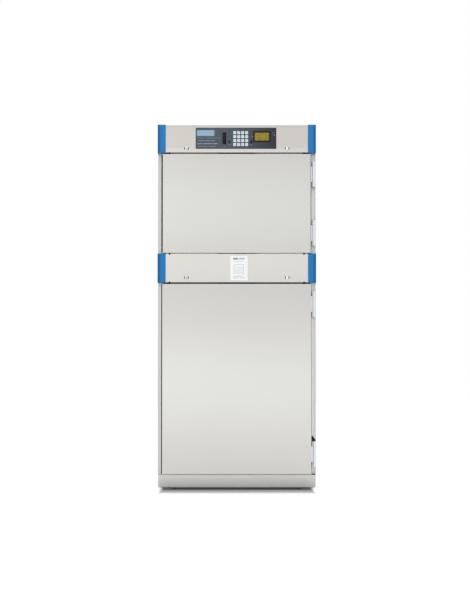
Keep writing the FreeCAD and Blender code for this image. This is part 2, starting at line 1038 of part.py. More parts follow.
def make_door_inner_panel(chamber):
    """The pressed back of a door: a plug that stands in the chamber's mouth, a fold behind the pull."""
    bottom, top = CHAMBERS[chamber]["door"]
    body = new_body(chamber.title() + "DoorInnerPanel")
    outline = rectangle("door_left", "door_right", bottom, top)
    raise_between(body, "XZ_Plane", "door_back - sheet", "door_back", outline)
    fold = rectangle("door_left", "door_left + sheet", "pull_far + pull_wall", "door_back")
    raise_between(body, "XY_Plane", f"{bottom} + sheet", f"{top} - sheet", fold)
    inner_bottom, inner_top = chamber_planes(chamber)
    plug = rectangle(
        "-chamber_side + plug_gap",
        "chamber_side - plug_gap",
        f"{inner_bottom} + plug_gap",
        f"{inner_top} - plug_gap",
    )
    raise_between(body, "XZ_Plane", "door_back", "door_back + plug_depth", plug)
    limit = value("door_back")
    soften(
        body,
        "plug_radius",
        lambda edge: runs_along(edge, Y) and near(edge.BoundBox.YMin, limit),
    )
    cut_between(
        body,
        "XZ_Plane",
        "door_back - sheet",
        "door_back + plug_depth - sheet",
        rectangle(
            "-chamber_side + plug_gap + plug_radius / 2",
            "chamber_side - plug_gap - plug_radius / 2",
            f"{inner_bottom} + plug_gap + plug_radius / 2",
            f"{inner_top} - plug_gap - plug_radius / 2",
        ),
    )
    return node(body, f"{chamber}_door_inner_panel")


def make_door_gasket(chamber):
    """The seal on the door's back: a rectangular ring just clear of the face frame."""
    bottom, top = chamber_planes(chamber)
    body = new_body(chamber.title() + "DoorGasket")
    raise_between(
        body,
        "XZ_Plane",
        "door_back",
        "frame_front - soft_gap",
        rectangle(
            "-chamber_side - gasket_inset - gasket_width",
            "chamber_side + gasket_inset + gasket_width",
            f"{bottom} - gasket_inset - gasket_width",
            f"{top} + gasket_inset + gasket_width",
        ),
    )
    soften(body, "gasket_width", lambda edge: runs_along(edge, Y))
    cut_between(
        body,
        "XZ_Plane",
        "door_back",
        "frame_front - soft_gap",
        rectangle(
            "-chamber_side - gasket_inset",
            "chamber_side + gasket_inset",
            f"{bottom} - gasket_inset",
            f"{top} + gasket_inset",
        ),
    )
    return node(body, f"{chamber}_door_gasket")


# ---------------------------------------------------------------- hinges


def hinge_places(chamber):
    """The middles of a door's two hinges, as heights."""
    bottom, top = CHAMBERS[chamber]["door"]
    return [f"({bottom} + hinge_inset)", f"({top} - hinge_inset)"]


def make_frame_leaf(middle):
    """A frame leaf: a plate on the stile, and a short knuckle on an arm at each end."""
    body = new_body("FrameLeaf")
    low = f"{middle} - hinge_height / 2"
    high = f"{middle} + hinge_height / 2"
    raise_between(
        body,
        "XY_Plane",
        low,
        high,
        rectangle(
            "hinge_x + knuckle_radius - leaf_width",
            "hinge_x + knuckle_radius",
            "frame_front - leaf",
            "frame_front",
        ),
    )
    for start, end in (
        (low, f"{middle} - door_knuckle / 2 - knuckle_gap"),
        (f"{middle} + door_knuckle / 2 + knuckle_gap", high),
    ):
        arm = rectangle(
            "hinge_x + knuckle_radius - leaf", "hinge_x + knuckle_radius", "hinge_y", "frame_front"
        )
        raise_between(body, "XY_Plane", start, end, arm)
        raise_between(body, "XY_Plane", start, end, disc("hinge_x", "hinge_y", "knuckle_radius"))
        cut_between(body, "XY_Plane", start, end, disc("hinge_x", "hinge_y", "pin_radius"))
    return body


def make_door_leaf(middle):
    """A door leaf: a plate on the door's edge and one long knuckle that turns on the pin."""
    body = new_body("DoorLeaf")
    raise_between(
        body,
        "XY_Plane",
        f"{middle} - hinge_height / 2",
        f"{middle} + hinge_height / 2",
        rectangle(
            "door_right",
            "door_right + leaf",
            "hinge_y - leaf / 2",
            "hinge_y - leaf / 2 + door_leaf_depth",
        ),
    )
    start = f"{middle} - door_knuckle / 2"
    end = f"{middle} + door_knuckle / 2"
    web = rectangle("door_right", "hinge_x", "hinge_y - leaf / 2", "hinge_y + leaf / 2")
    raise_between(body, "XY_Plane", start, end, web)
    raise_between(body, "XY_Plane", start, end, disc("hinge_x", "hinge_y", "knuckle_radius"))
    cut_between(body, "XY_Plane", start, end, disc("hinge_x", "hinge_y", "pin_radius + pin_fit"))
    return body


def make_hinge_pin(middle):
    """A plain pin through the three knuckles, a little longer than they are."""
    low = f"{middle} - hinge_height / 2 - pin_end"
    return rod("HingePin", ("hinge_x", "hinge_y", low), Z, "pin_radius", "hinge_height + 2 * pin_end")


def make_hinges():
    """All four hinges: the frame leaves and pins stay, each door carries its own two leaves."""
    middles = [middle for chamber in CHAMBERS for middle in hinge_places(chamber)]
    node(group("FrameLeaves", [make_frame_leaf(m) for m in middles]), "frame_hinge_leaves")
    node(group("HingePins", [make_hinge_pin(m) for m in middles]), "hinge_pins")
    for chamber in CHAMBERS:
        leaves = [make_door_leaf(middle) for middle in hinge_places(chamber)]
        node(group(chamber.title() + "DoorLeaves", leaves), f"{chamber}_door_hinge_leaves")


def make_door_catches():
    """Magnetic strips on the left stile that hold each door shut."""
    strips = []
    inner = "-chamber_side - gasket_inset - gasket_width - catch_gap"
    for chamber in CHAMBERS:
        for middle in hinge_places(chamber):
            strips.append(
                block(
                    "Catch",
                    (f"{inner} - catch_width", inner),
                    ("frame_front - catch_height", "frame_front"),
                    z_span(middle, "catch_length"),
                )
            )
    return node(group("Catches", strips), "door_catches")


# ---------------------------------------------------------------- shelves


def shelf_levels():
    """The height of each shelf's underside, from the chamber it hangs in."""
    levels = []
    for chamber, facts in CHAMBERS.items():
        bottom, top = chamber_planes(chamber)
        levels += [f"({bottom} + ({top} - {bottom}) * {share})" for share in facts["shelves"]]
    return levels


def make_wire_shelf(level):
    """A wire shelf: a flat-bar rim, wires from front to back and a cross bar under them."""
    body = new_body("WireShelf")
    side = "(chamber_side - shelf_side_gap)"
    front = "(frame_back + shelf_end_gap)"
    back = "(duct_front - shelf_end_gap)"
    inner_side = f"({side} - shelf_rim)"
    top = f"({level} + shelf_rim_height)"
    raise_between(body, "XY_Plane", level, top, rectangle(f"-{side}", side, front, back))
    soften(body, "2 * shelf_rim", lambda edge: runs_along(edge, Z))
    cut_between(
        body,
        "XY_Plane",
        level,
        top,
        rectangle(f"-{inner_side}", inner_side, f"{front} + shelf_rim", f"{back} - shelf_rim"),
    )
    count = int(2 * value(inner_side) / value("wire_pitch"))
    wire = raise_between(
        body,
        "XZ_Plane",
        f"{front} + shelf_rim / 2",
        f"{back} - shelf_rim / 2",
        centred(f"-wire_pitch * {count - 1} / 2", f"{top} - wire / 2", "wire", "wire"),
    )
    repeat_along(body, [wire], "X_Axis", "wire_pitch", count)
    bar = centred(f"({front} + {back}) / 2", f"{top} - 1.4 * wire", "wire", "wire")
    raise_between(body, "YZ_Plane", f"-{side} + shelf_rim / 2", f"{side} - shelf_rim / 2", bar)
    return body


def make_shelf_rail(level, hand):
    """An angle rail on the chamber's wall that a shelf's rim lies on."""
    body = new_body("ShelfRail")
    wall = f"{hand} * chamber_side"
    raise_between(
        body,
        "XZ_Plane",
        "frame_back + rail_end_gap",
        "duct_front - rail_end_gap",
        [
            (wall, level),
            (wall, f"{level} - rail_leg"),
            (f"{hand} * (chamber_side - rail_thickness)", f"{level} - rail_leg"),
            (f"{hand} * (chamber_side - rail_thickness)", f"{level} - rail_thickness"),
            (f"{hand} * (chamber_side - rail_leg)", f"{level} - rail_thickness"),
            (f"{hand} * (chamber_side - rail_leg)", level),
        ],
    )
    return body


def make_shelves():
    levels = shelf_levels()
    rails = [make_shelf_rail(level, hand) for level in levels for hand in (-1, 1)]
    node(group("Shelves", [make_wire_shelf(level) for level in levels]), "wire_shelves")
    node(group("Rails", rails), "shelf_rails")


# ---------------------------------------------------------------- warm air


def make_air_duct(chamber):
    """A plenum cover on the chamber's back wall: inlet over the blower, outlet slots at its sides."""
    body = new_body(chamber.title() + "Duct")
    bottom, top = chamber_planes(chamber)
    low = f"({bottom} + duct_end_gap)"
    high = f"({top} - duct_end_gap)"
    raise_between(
        body,
        "XZ_Plane",
        "duct_front",
        "chamber_back",
        rectangle("-duct_side", "duct_side", low, high),
    )
    front = value("duct_front")
    bevel(body, "2 * liner", lambda edge: near(edge.BoundBox.YMax, front))
    cut_between(
        body,
        "XZ_Plane",
        "duct_front + liner",
        "chamber_back",
        rectangle("-duct_side + liner", "duct_side - liner", f"{low} + liner", f"{high} - liner"),
    )
    middle = chamber_middle(chamber)
    count = int(value(f"{high} - {low}") / value("duct_slot_pitch")) - 1
    for hand in (-1, 1):
        slot = cut_between(
            body,
            "XZ_Plane",
            "duct_front",
            "duct_front + liner",
            centred(
                f"{hand} * (duct_side - duct_slot_length)",
                f"{middle} - duct_slot_pitch * {count - 1} / 2",
                "duct_slot_length",
                "duct_slot_width",
            ),
        )
        repeat_along(body, [slot], "Z_Axis", "duct_slot_pitch", count)
    bars = inlet_bars(middle)
    cut_between(body, "XZ_Plane", "duct_front", "duct_front + liner", *bars)
    return body


def inlet_bars(middle):
    """The slots of the inlet grille: a row whose lengths follow a circle."""
    slots = []
    pitch = "(duct_inlet_radius / 4)"
    for step in range(-3, 4):
        height = f"({middle} + {step} * {pitch})"
        half = f"sqrt(duct_inlet_radius ^ 2 - ({step} * {pitch}) ^ 2)"
        slots.append(centred("0", height, f"2 * {half}", f"{pitch} * 0.6"))
    return slots


def make_blower_wheel(chamber):
    """A centrifugal wheel: back plate, raked blades, front ring, hub and the shaft it turns on."""
    body = new_body(chamber.title() + "Wheel")
    rim = regular("0", "0", "wheel_radius", 32)
    raise_between(body, "XZ_Plane", "-wheel_plate", "0", rim)
    raise_between(body, "XZ_Plane", "-wheel_depth * 0.7", "0", disc("0", "0", "wheel_hub_radius"))
    raise_between(
        body,
        "XZ_Plane",
        "0",
        "wheel_back_gap + liner + rear_insulation + motor_bearing",
        disc("0", "0", "shaft_radius"),
    )
    inner = "(wheel_radius - wheel_ring)"
    root = f"({inner} + blade_thickness / 2)"
    middle = f"({inner} + wheel_ring / 2)"
    tip = f"({inner} + wheel_ring * 0.85)"
    rake = "(wheel_ring * 0.6)"
    blade = raise_between(
        body,
        "XZ_Plane",
        "-wheel_depth + wheel_plate / 2",
        "-wheel_plate / 2",
        [
            (root, "0"),
            (middle, f"{rake} * 0.35"),
            (tip, rake),
            (f"{tip} - blade_thickness / 2", f"{rake} + blade_thickness"),
            (f"{middle} - blade_thickness / 3", f"{rake} * 0.35 + blade_thickness"),
            (root, "blade_thickness"),
        ],
    )
    repeat_round(body, [blade], "Y_Axis", "blade_count")
    raise_between(
        body,
        "XZ_Plane",
        "-wheel_depth",
        "-wheel_depth + wheel_plate",
        rim,
        regular("0", "0", inner, 32),
    )
    bind(body, {"Placement.Base.y": "wheel_back", "Placement.Base.z": chamber_middle(chamber)})
    return node(body, f"{chamber}_blower_wheel")


def make_motor(chamber):
    """A blower motor on the back of the insulation: plate, can and the bore its shaft turns in."""
    body = new_body(chamber.title() + "Motor")
    raise_between(
        body, "XZ_Plane", "0", "base_sheet", centred("0", "0", "motor_plate", "motor_plate")
    )
    bevel(body, "motor_plate / 8", lambda edge: runs_along(edge, Y))
    end = "base_sheet + motor_length"
    raise_between(body, "XZ_Plane", "base_sheet", end, regular("0", "0", "motor_radius", 24))
    rim = value(end)
    bevel(body, "motor_radius / 8", lambda edge: near(edge.BoundBox.YMin, rim))
    cut_between(
        body,
        "XZ_Plane",
        "0",
        "motor_bearing + shaft_end_play",
        disc("0", "0", "shaft_radius + pin_fit"),
    )
    bind(body, {"Placement.Base.y": "insulation_back", "Placement.Base.z": chamber_middle(chamber)})
    return body


def make_heater(chamber):
    """A sheathed element bent into an open ring round the wheel, with two legs to the back wall."""
    body = new_body(chamber.title() + "Heater")
    middle = "(duct_front + chamber_back) / 2"
    raise_between(
        body,
        "XZ_Plane",
        f"{middle} - heater_tube_radius",
        f"{middle} + heater_tube_radius",
        regular("0", "0", "(heater_radius + heater_tube_radius)", 32),
        regular("0", "0", "(heater_radius - heater_tube_radius)", 32),
    )
    opening = rectangle("0", "2 * heater_radius", "-heater_opening / 2", "heater_opening / 2")
    cut_between(
        body, "XZ_Plane", f"{middle} - heater_tube_radius", f"{middle} + heater_tube_radius", opening
    )
    legs = [
        centred(
            "sqrt(heater_radius ^ 2 - (heater_opening / 2 + heater_tube_radius) ^ 2)",
            f"{hand} * (heater_opening / 2 + heater_tube_radius * 1.5)",
            "1.4 * heater_tube_radius",
            "1.4 * heater_tube_radius",
        )
        for hand in (-1, 1)
    ]
    raise_between(body, "XZ_Plane", f"{middle} - heater_tube_radius / 2", "chamber_back", *legs)
    bind(body, {"Placement.Base.z": chamber_middle(chamber)})
    return body


def make_warm_air():
    node(group("Ducts", [make_air_duct(chamber) for chamber in CHAMBERS]), "air_ducts")
    node(group("Motors", [make_motor(chamber) for chamber in CHAMBERS]), "blower_motors")
    node(group("Heaters", [make_heater(chamber) for chamber in CHAMBERS]), "heating_elements")
    for chamber in CHAMBERS:
        make_blower_wheel(chamber)


def make_power_inlet():
    """A panel-mounted power socket: flange, shroud and three contact blades. No cord is fitted."""
    body = new_body("PowerInlet")
    centre = ("inlet_x", "inlet_z")
    flange = centred(*centre, "inlet_flange_width", "inlet_height + 4 * inlet_wall")
    raise_between(body, "XZ_Plane", "back_face", "back_face + inlet_flange", flange)
    soften(body, "2 * inlet_wall", lambda edge: runs_along(edge, Y))
    raise_between(
        body,
        "XZ_Plane",
        "back_face + inlet_flange - inlet_depth",
        "back_face",
        centred(*centre, "inlet_width", "inlet_height"),
    )
    cavity = ("inlet_width - 2 * inlet_wall", "inlet_height - 2 * inlet_wall")
    floor = "back_face + inlet_flange - inlet_depth + inlet_wall"
    cut_between(
        body, "XZ_Plane", floor, "back_face + inlet_flange", centred(*centre, *cavity)
    )
    contacts = [
        centred(
            f"inlet_x + inlet_width / 4 * {across}",
            f"inlet_z + inlet_height * {up}",
            "contact_width",
            "contact_height",
        )
        for across, up in ((-1, -1 / 8), (0, 1 / 6), (1, -1 / 8))
    ]
    raise_between(body, "XZ_Plane", floor, f"{floor} + inlet_depth / 2", *contacts)
    return node(body, "power_inlet")


# ---------------------------------------------------------------- build


make_outer_shell()
make_back_panel()
make_base_plinth()
make_levelling_feet()
make_face_frame()
make_insulation()
for each in CHAMBERS:
    make_liner(each)

header_window = rectangle(
    "panel_x + indicator_x - indicator_width",
    "panel_x + display_x + display_width / 2 + bezel_rim",
    "panel_z - panel_height / 2 + 3 * bezel_rim / 2",
    "panel_z + panel_height / 2 - 3 * bezel_rim / 2",
)
make_fascia("header_fascia", "header_bottom", "header_top", "header_fastener_rise", [header_window])
make_fascia("middle_fascia", "middle_bottom", "middle_top", "middle_fastener_rise", [])
make_corner_bumpers()
make_rubber_buffers()
make_fastener("header_fastener_left", -1, "header_bottom", "header_fastener_rise")
make_fastener("header_fastener_right", 1, "header_bottom", "header_fastener_rise")
make_fastener("middle_fastener_left", -1, "middle_bottom", "middle_fastener_rise")
make_fastener("middle_fastener_right", 1, "middle_bottom", "middle_fastener_rise")

make_control_panel()
make_display_bezel()
make_display_windows()
make_control_board()
make_info_plate()
for number, key_x, key_z in key_places():
    make_push_button(f"key_{number:02d}", key_x, key_z, "key", "key", "key_corner")
for button, (shift, button_width) in SMALL_BUTTONS.items():
    make_push_button(
        button,
        f"panel_x + {shift}",
        "panel_z + small_button_z",
        button_width,
        "small_button_height",
        f"{button_width} * 0.3",
    )

for each in CHAMBERS:
    make_door_skin(each)
    make_door_pull(each)
    make_door_inner_panel(each)
    make_door_gasket(each)
make_hinges()
make_door_catches()
make_shelves()
make_warm_air()
make_power_inlet()

doc.recompute()

broken = [thing.Name for thing in doc.Objects if {"Invalid", "Error"} & set(thing.State)]
if broken:
    raise RuntimeError(f"features that failed: {broken}")
for piece in nodes:
    if piece.Shape.isNull() or not piece.Shape.isValid():
        raise RuntimeError(f"{piece.Label} has no valid shape")

os.makedirs("parts", exist_ok=True)
for piece in nodes:
    piece.Shape.exportStep(f"parts/{piece.Label}.step")
print(f"{len(nodes)} pieces written")
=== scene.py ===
# %% [markdown]
# # A blanket warming cabinet
#
# The cabinet is a tall steel case with two heated chambers. A short upper door and a long lower
# door hang on butt hinges at the right, blue caps guard the corners, and a keypad and a display
# sit in the header. The steelwork, hinges and working parts come ready made and in place. This
# lesson gives them their finishes, and builds the small moulded, printed and wire parts that need
# softer shapes than sheet metal does.

# %% Load the steelwork
import json
import math

import bmesh
import bpy
from mathutils import Matrix, Vector


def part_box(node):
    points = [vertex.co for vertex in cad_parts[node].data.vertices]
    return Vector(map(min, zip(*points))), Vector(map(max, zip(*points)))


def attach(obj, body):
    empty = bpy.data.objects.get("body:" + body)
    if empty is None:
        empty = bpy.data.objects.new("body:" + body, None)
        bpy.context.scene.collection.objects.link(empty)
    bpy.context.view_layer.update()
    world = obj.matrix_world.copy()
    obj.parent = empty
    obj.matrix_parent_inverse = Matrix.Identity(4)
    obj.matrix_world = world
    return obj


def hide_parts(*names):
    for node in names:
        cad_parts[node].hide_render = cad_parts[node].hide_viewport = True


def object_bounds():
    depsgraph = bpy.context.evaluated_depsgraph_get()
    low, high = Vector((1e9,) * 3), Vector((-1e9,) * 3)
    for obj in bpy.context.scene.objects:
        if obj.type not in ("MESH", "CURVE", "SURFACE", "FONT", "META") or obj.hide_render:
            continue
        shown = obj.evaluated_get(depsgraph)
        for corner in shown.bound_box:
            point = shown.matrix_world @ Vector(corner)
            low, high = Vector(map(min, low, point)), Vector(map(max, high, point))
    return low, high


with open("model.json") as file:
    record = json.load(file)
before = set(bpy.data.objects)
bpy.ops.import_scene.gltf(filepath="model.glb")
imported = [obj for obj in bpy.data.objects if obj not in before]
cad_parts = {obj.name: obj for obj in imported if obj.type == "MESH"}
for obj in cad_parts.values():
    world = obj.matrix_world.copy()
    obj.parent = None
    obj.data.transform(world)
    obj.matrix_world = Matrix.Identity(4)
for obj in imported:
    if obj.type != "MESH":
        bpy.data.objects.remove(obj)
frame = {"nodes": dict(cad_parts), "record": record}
steelwork_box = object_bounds()

# %% [markdown]
# ## Measures
#
# Everything is drawn in metres, but a cabinet maker thinks in millimetres, so sizes are written in
# millimetres and turned over by one factor. Places that belong to the steelwork are read from its
# boxes wherever a box gives them. Colours are written as a paint chart gives them, from 0 to 255,
# and turned into the linear light that the shader wants.

# %% Measures and colours
MM = 0.001


def shade(red, green, blue):
    """Linear light from a colour given as 0 to 255."""
    parts = [part / 255 for part in (red, green, blue)]
    return [p / 12.92 if p <= 0.04045 else ((p + 0.055) / 1.055) ** 2.4 for p in parts]


def middle_of(node):
    low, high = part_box(node)
    return (low + high) / 2


(case_left, FRONT, case_low), (case_right, _, case_high) = steelwork_box
PANEL_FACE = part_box("control_panel")[0].y
DOOR_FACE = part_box("upper_door_skin")[0].y
print("front", round(FRONT, 4), "panel", round(PANEL_FACE, 4), "doors", round(DOOR_FACE, 4))

# %% [markdown]
# ## The camera
#
# The cabinet is seen square on from far away, with the camera a little below its middle and
# tipped up by a degree or so, which draws the top very slightly narrower than the base. A long
# lens at eight metres gives that flat view. The lens follows from the distance, the picture's
# height in pixels and the size of one pixel on the doors.

# %% Camera
PICTURE_HEIGHT = 608
PIXEL = 4.798 * MM
VIEW_DISTANCE = 8.0
VIEW_CENTRE = Vector((-0.0087, DOOR_FACE, 0.8899))
TILT = math.radians(1.6)
SENSOR = 24.0


def put(name, data):
    """A new object in the scene."""
    thing = bpy.data.objects.new(name, data)
    bpy.context.scene.collection.objects.link(thing)
    return thing


camera_data = bpy.data.cameras.new("studio_camera")
camera_data.sensor_fit = "VERTICAL"
camera_data.sensor_height = SENSOR
camera_data.lens = SENSOR * VIEW_DISTANCE / (PICTURE_HEIGHT * PIXEL)
camera = put("studio_camera", camera_data)
back_off = Vector((0, -math.cos(TILT), -math.sin(TILT))) * VIEW_DISTANCE
camera.location = VIEW_CENTRE + back_off
camera.rotation_euler = (math.pi / 2 + TILT, 0, 0)
bpy.context.scene.camera = camera
print("lens", round(camera_data.lens, 1), "mm, camera height", round(camera.location.z, 3))

# %% [markdown]
# ## Nodes
#
# Light, finishes and wire are all drawn as trees of nodes. One helper adds a node, sets it and
# wires it up: a socket is linked, and anything else is set as the input's value. A second does
# sums, and a third reads one axis of a place or a direction. Nodes could be added and linked one
# line at a time, but then the lines hide the sum that the nodes make.


# %% Node helpers
def step(tree, kind, wires=None, **settings):
    """Add a node, set its properties and connect or set its inputs."""
    node = tree.nodes.new(kind)
    for setting, choice in settings.items():
        setattr(node, setting, choice)
    for socket, source in (wires or {}).items():
        if isinstance(source, bpy.types.NodeSocket):
            tree.links.new(source, node.inputs[socket])
        else:
            node.inputs[socket].default_value = source
    return node


def reckon(tree, operation, *values):
    """The result of a sum on numbers or sockets."""
    return step(tree, "ShaderNodeMath", dict(enumerate(values)), operation=operation).outputs[0]


def coordinate(tree, kind, axis):
    """One axis of the place or the direction that a shader is asked about."""
    place = step(tree, "ShaderNodeTexCoord").outputs[kind]
    return step(tree, "ShaderNodeSeparateXYZ", {0: place}).outputs[axis]


print("node helpers: 3")

# %% [markdown]
# ## Light and floor
#
# A white studio. The camera, polished metal and glass see a plain white surround. Matt surfaces
# are lit by the same surround, a little dimmer towards the sides so that rounded corners read as
# round. Two large weak lamps, one overhead and one at the front left, add a gentle direction.
# Large lamps are used because small ones would leave hard bright lines along the folded edges.

# %% Surround
bpy.context.scene.view_settings.view_transform = "Standard"

FRONT_LEVEL = 1.0
SIDE_LEVEL = 0.5


def seen_directly(tree):
    """1 where a ray comes from the camera, a mirror or glass, and 0 for light on matt things."""
    rays = step(tree, "ShaderNodeLightPath").outputs
    mirrored = reckon(tree, "MAXIMUM", rays["Is Camera Ray"], rays["Is Glossy Ray"])
    return reckon(tree, "MAXIMUM", mirrored, rays["Is Transmission Ray"])


def eased(tree, value, start, end, low, high=1.0):
    """Ease from one level to another while a value goes from a start to an end."""
    wires = {"Value": value, "From Min": start, "From Max": end, "To Min": low, "To Max": high}
    return step(tree, "ShaderNodeMapRange", wires, interpolation_type="SMOOTHSTEP").outputs[0]


surround = bpy.data.worlds.new("white_studio")
bpy.context.scene.world = surround
surround.use_nodes = True
tree = surround.node_tree
tree.nodes.clear()
sideways = reckon(tree, "ABSOLUTE", coordinate(tree, "Generated", "X"))
falloff = eased(tree, sideways, 0.3, 0.95, FRONT_LEVEL, SIDE_LEVEL)
wires = {"Factor": seen_directly(tree), "A": falloff, "B": 1.0}
level = step(tree, "ShaderNodeMix", wires, data_type="FLOAT").outputs["Result"]
background = step(tree, "ShaderNodeBackground", {"Color": (1, 1, 1, 1), "Strength": level})
step(tree, "ShaderNodeOutputWorld", {"Surface": background.outputs[0]})
print("surround: white, matt light", FRONT_LEVEL, "in front and", SIDE_LEVEL, "at the sides")


# %% Lamps
def soft_lamp(name, place, target, width, height, watts):
    """A rectangular studio lamp that the camera doesn't see."""
    data = bpy.data.lights.new(name, "AREA")
    data.shape = "RECTANGLE"
    data.size = width
    data.size_y = height
    data.energy = watts
    lamp = put(name, data)
    lamp.location = place
    lamp.rotation_euler = (Vector(target) - Vector(place)).to_track_quat("-Z", "Y").to_euler()
    lamp.visible_camera = False


soft_lamp("overhead_lamp", (0.3, -1.8, 4.4), (0, -0.3, 0.9), 3.5, 2.5, 20)
soft_lamp("front_lamp", (-3.0, -5.5, 2.2), (0, -0.3, 0.9), 3.0, 3.0, 26)
print("lamps: 2")

# %% [markdown]
# ### The floor
#
# The floor is matt, and keeps the shadow that the cabinet throws in front of its base. Where the
# shadow has faded, the floor is lifted to the white of the surround for whatever looks at it
# directly. The lift starts a little in front of the base and close beside it.

# %% Floor
FLOOR_HALF = 12.0
FLOOR_LIFT = 0.76
LEAST_LIFT = 0.05
LIFT_BESIDE = (0.352, 0.377)
LIFT_IN_FRONT = (0.375, 0.62)
LIFT_BEHIND = (0.36, 0.50)


def plain_mesh(name, points, faces):
    mesh = bpy.data.meshes.new(name)
    mesh.from_pydata(points, [], faces)
    return mesh


corners = [(x * FLOOR_HALF, y * FLOOR_HALF, 0) for x, y in ((-1, -1), (1, -1), (1, 1), (-1, 1))]
floor_mesh = plain_mesh("floor", corners, [(0, 1, 2, 3)])
floor = put("floor", floor_mesh)

floor_paint = bpy.data.materials.new("white_floor")
floor_paint.use_nodes = True
tree = floor_paint.node_tree
tree.nodes.clear()
sideways = reckon(tree, "ABSOLUTE", coordinate(tree, "Object", "X"))
backwards = coordinate(tree, "Object", "Y")
forwards = reckon(tree, "MULTIPLY", backwards, -1)
beside = eased(tree, sideways, *LIFT_BESIDE, LEAST_LIFT)
in_front = eased(tree, forwards, *LIFT_IN_FRONT, LEAST_LIFT)
behind = eased(tree, backwards, *LIFT_BEHIND, LEAST_LIFT)
all_round = reckon(tree, "MAXIMUM", reckon(tree, "MAXIMUM", beside, in_front), behind)
shown = reckon(tree, "MULTIPLY", all_round, seen_directly(tree))
amount = reckon(tree, "MULTIPLY", shown, FLOOR_LIFT)
matt = step(tree, "ShaderNodeBsdfDiffuse", {"Color": (0.36, 0.36, 0.37, 1)})
lift = step(tree, "ShaderNodeEmission", {"Strength": amount})
both = step(tree, "ShaderNodeAddShader", {0: matt.outputs[0], 1: lift.outputs[0]})
step(tree, "ShaderNodeOutputMaterial", {"Surface": both.outputs[0]})
floor_mesh.materials.append(floor_paint)
print("floor", 2 * FLOOR_HALF, "m across")

# %% [markdown]
# ## Finishes
#
# Every finish on the cabinet is one shader with two layers of noise. A broad, slow cloud varies
# the colour by a few percent, as real sheet and real plastic do. A fine grain varies the
# roughness and raises a tiny bump. Stretching the grain along one axis makes it brushed metal;
# leaving it even makes moulded plastic or rubber. All of it reads the piece's own object
# coordinates, so it stays put when a door swings. Colour, metal and other constants are set on
# the shader itself.


# %% A finish from cloud and grain
def finish(
    name,
    colour,
    roughness,
    metal=0.0,
    grain=(900, 900, 900),
    grain_depth=0.01,
    roughness_spread=0.05,
    cloud=(3, 3, 3),
    cloud_spread=0.02,
    specular=0.5,
):
    """A node material: clouded colour, grained roughness and a fine bump."""
    material = bpy.data.materials.new(name)
    material.use_nodes = True
    tree = material.node_tree
    shader = tree.nodes["Principled BSDF"]
    shader.inputs["Metallic"].default_value = metal
    shader.inputs["Specular IOR Level"].default_value = specular
    place = step(tree, "ShaderNodeTexCoord").outputs["Object"]

    def noise(scale, detail):
        """Noise squeezed by a scale along each axis."""
        squeezed = step(tree, "ShaderNodeMapping", {"Vector": place, "Scale": scale})
        wires = {"Vector": squeezed.outputs[0], "Scale": 1, "Detail": detail}
        return step(tree, "ShaderNodeTexNoise", wires).outputs[0]

    dark = (*[c * (1 - cloud_spread) for c in colour], 1)
    light = (*[c * (1 + cloud_spread) for c in colour], 1)
    wires = {"Factor": noise(cloud, 3), "A": dark, "B": light}
    tint = step(tree, "ShaderNodeMix", wires, data_type="RGBA").outputs["Result"]
    fine = noise(grain, 2)
    limits = {"To Min": roughness - roughness_spread, "To Max": roughness + roughness_spread}
    spread = step(tree, "ShaderNodeMapRange", {"Value": fine, **limits}).outputs[0]
    wires = {"Strength": 0.5, "Distance": grain_depth * MM, "Height": fine}
    bump = step(tree, "ShaderNodeBump", wires).outputs[0]
    for socket, source in (("Base Color", tint), ("Roughness", spread), ("Normal", bump)):
        tree.links.new(source, shader.inputs[socket])
    return material


# %% [markdown]
# ### Brushed steel
#
# The doors and the case are stainless sheet with a fine upright grain, and the covers of the header
# and middle are brushed along their length. Grain is noise squeezed hard across the brushing and
# left long along it. A broad sheen, as a large soft light would throw on the sheet, is painted on:
# the colour rises and falls by a few percent in slow waves up a door. A slow cosine along the
# height paints that sheen better than noise, which would look like stains.


# %% Laying a colour over another
def lay_over(material, colour):
    """Multiply a colour over whatever colours the material already."""
    tree = material.node_tree
    base = tree.nodes["Principled BSDF"].inputs["Base Color"]
    wires = {"Factor": 1.0, "A": base.links[0].from_socket, "B": colour}
    both = step(tree, "ShaderNodeMix", wires, data_type="RGBA", blend_type="MULTIPLY")
    tree.links.new(both.outputs["Result"], base)


def add_axis_ramp(material, axis, reach, stops):
    """Lay colour stops over a material along one object axis, between the two ends of a reach."""
    tree = material.node_tree
    place = coordinate(tree, "Object", axis)
    wires = {"Value": place, "From Min": reach[0], "From Max": reach[1]}
    along = step(tree, "ShaderNodeMapRange", wires).outputs[0]
    ramp = step(tree, "ShaderNodeValToRGB", {"Fac": along})
    elements = ramp.color_ramp.elements
    while len(elements) < len(stops):
        elements.new(0.5)
    for element, (where, colour) in zip(elements, stops):
        element.position = where
        element.color = (*colour, 1)
    lay_over(material, ramp.outputs["Color"])


def paint_sheen_waves(material, darkest, period, brightest):
    """Paint a sheen as waves of shade up a sheet's height: the dark factor, their length, a bright
    height.
    """
    tree = material.node_tree
    turns, shift = 2 * math.pi / period, -2 * math.pi * brightest / period
    phase = reckon(tree, "MULTIPLY_ADD", coordinate(tree, "Object", "Z"), turns, shift)
    share = reckon(tree, "MULTIPLY_ADD", reckon(tree, "COSINE", phase), 0.5, 0.5)
    wires = {"Factor": share, "A": (*darkest, 1), "B": (1, 1, 1, 1)}
    strength = step(tree, "ShaderNodeMix", wires, data_type="RGBA")
    lay_over(material, strength.outputs["Result"])


# %% Metal finishes
UPRIGHT = (1400, 1400, 9)
ALONG = (9, 1400, 1400)

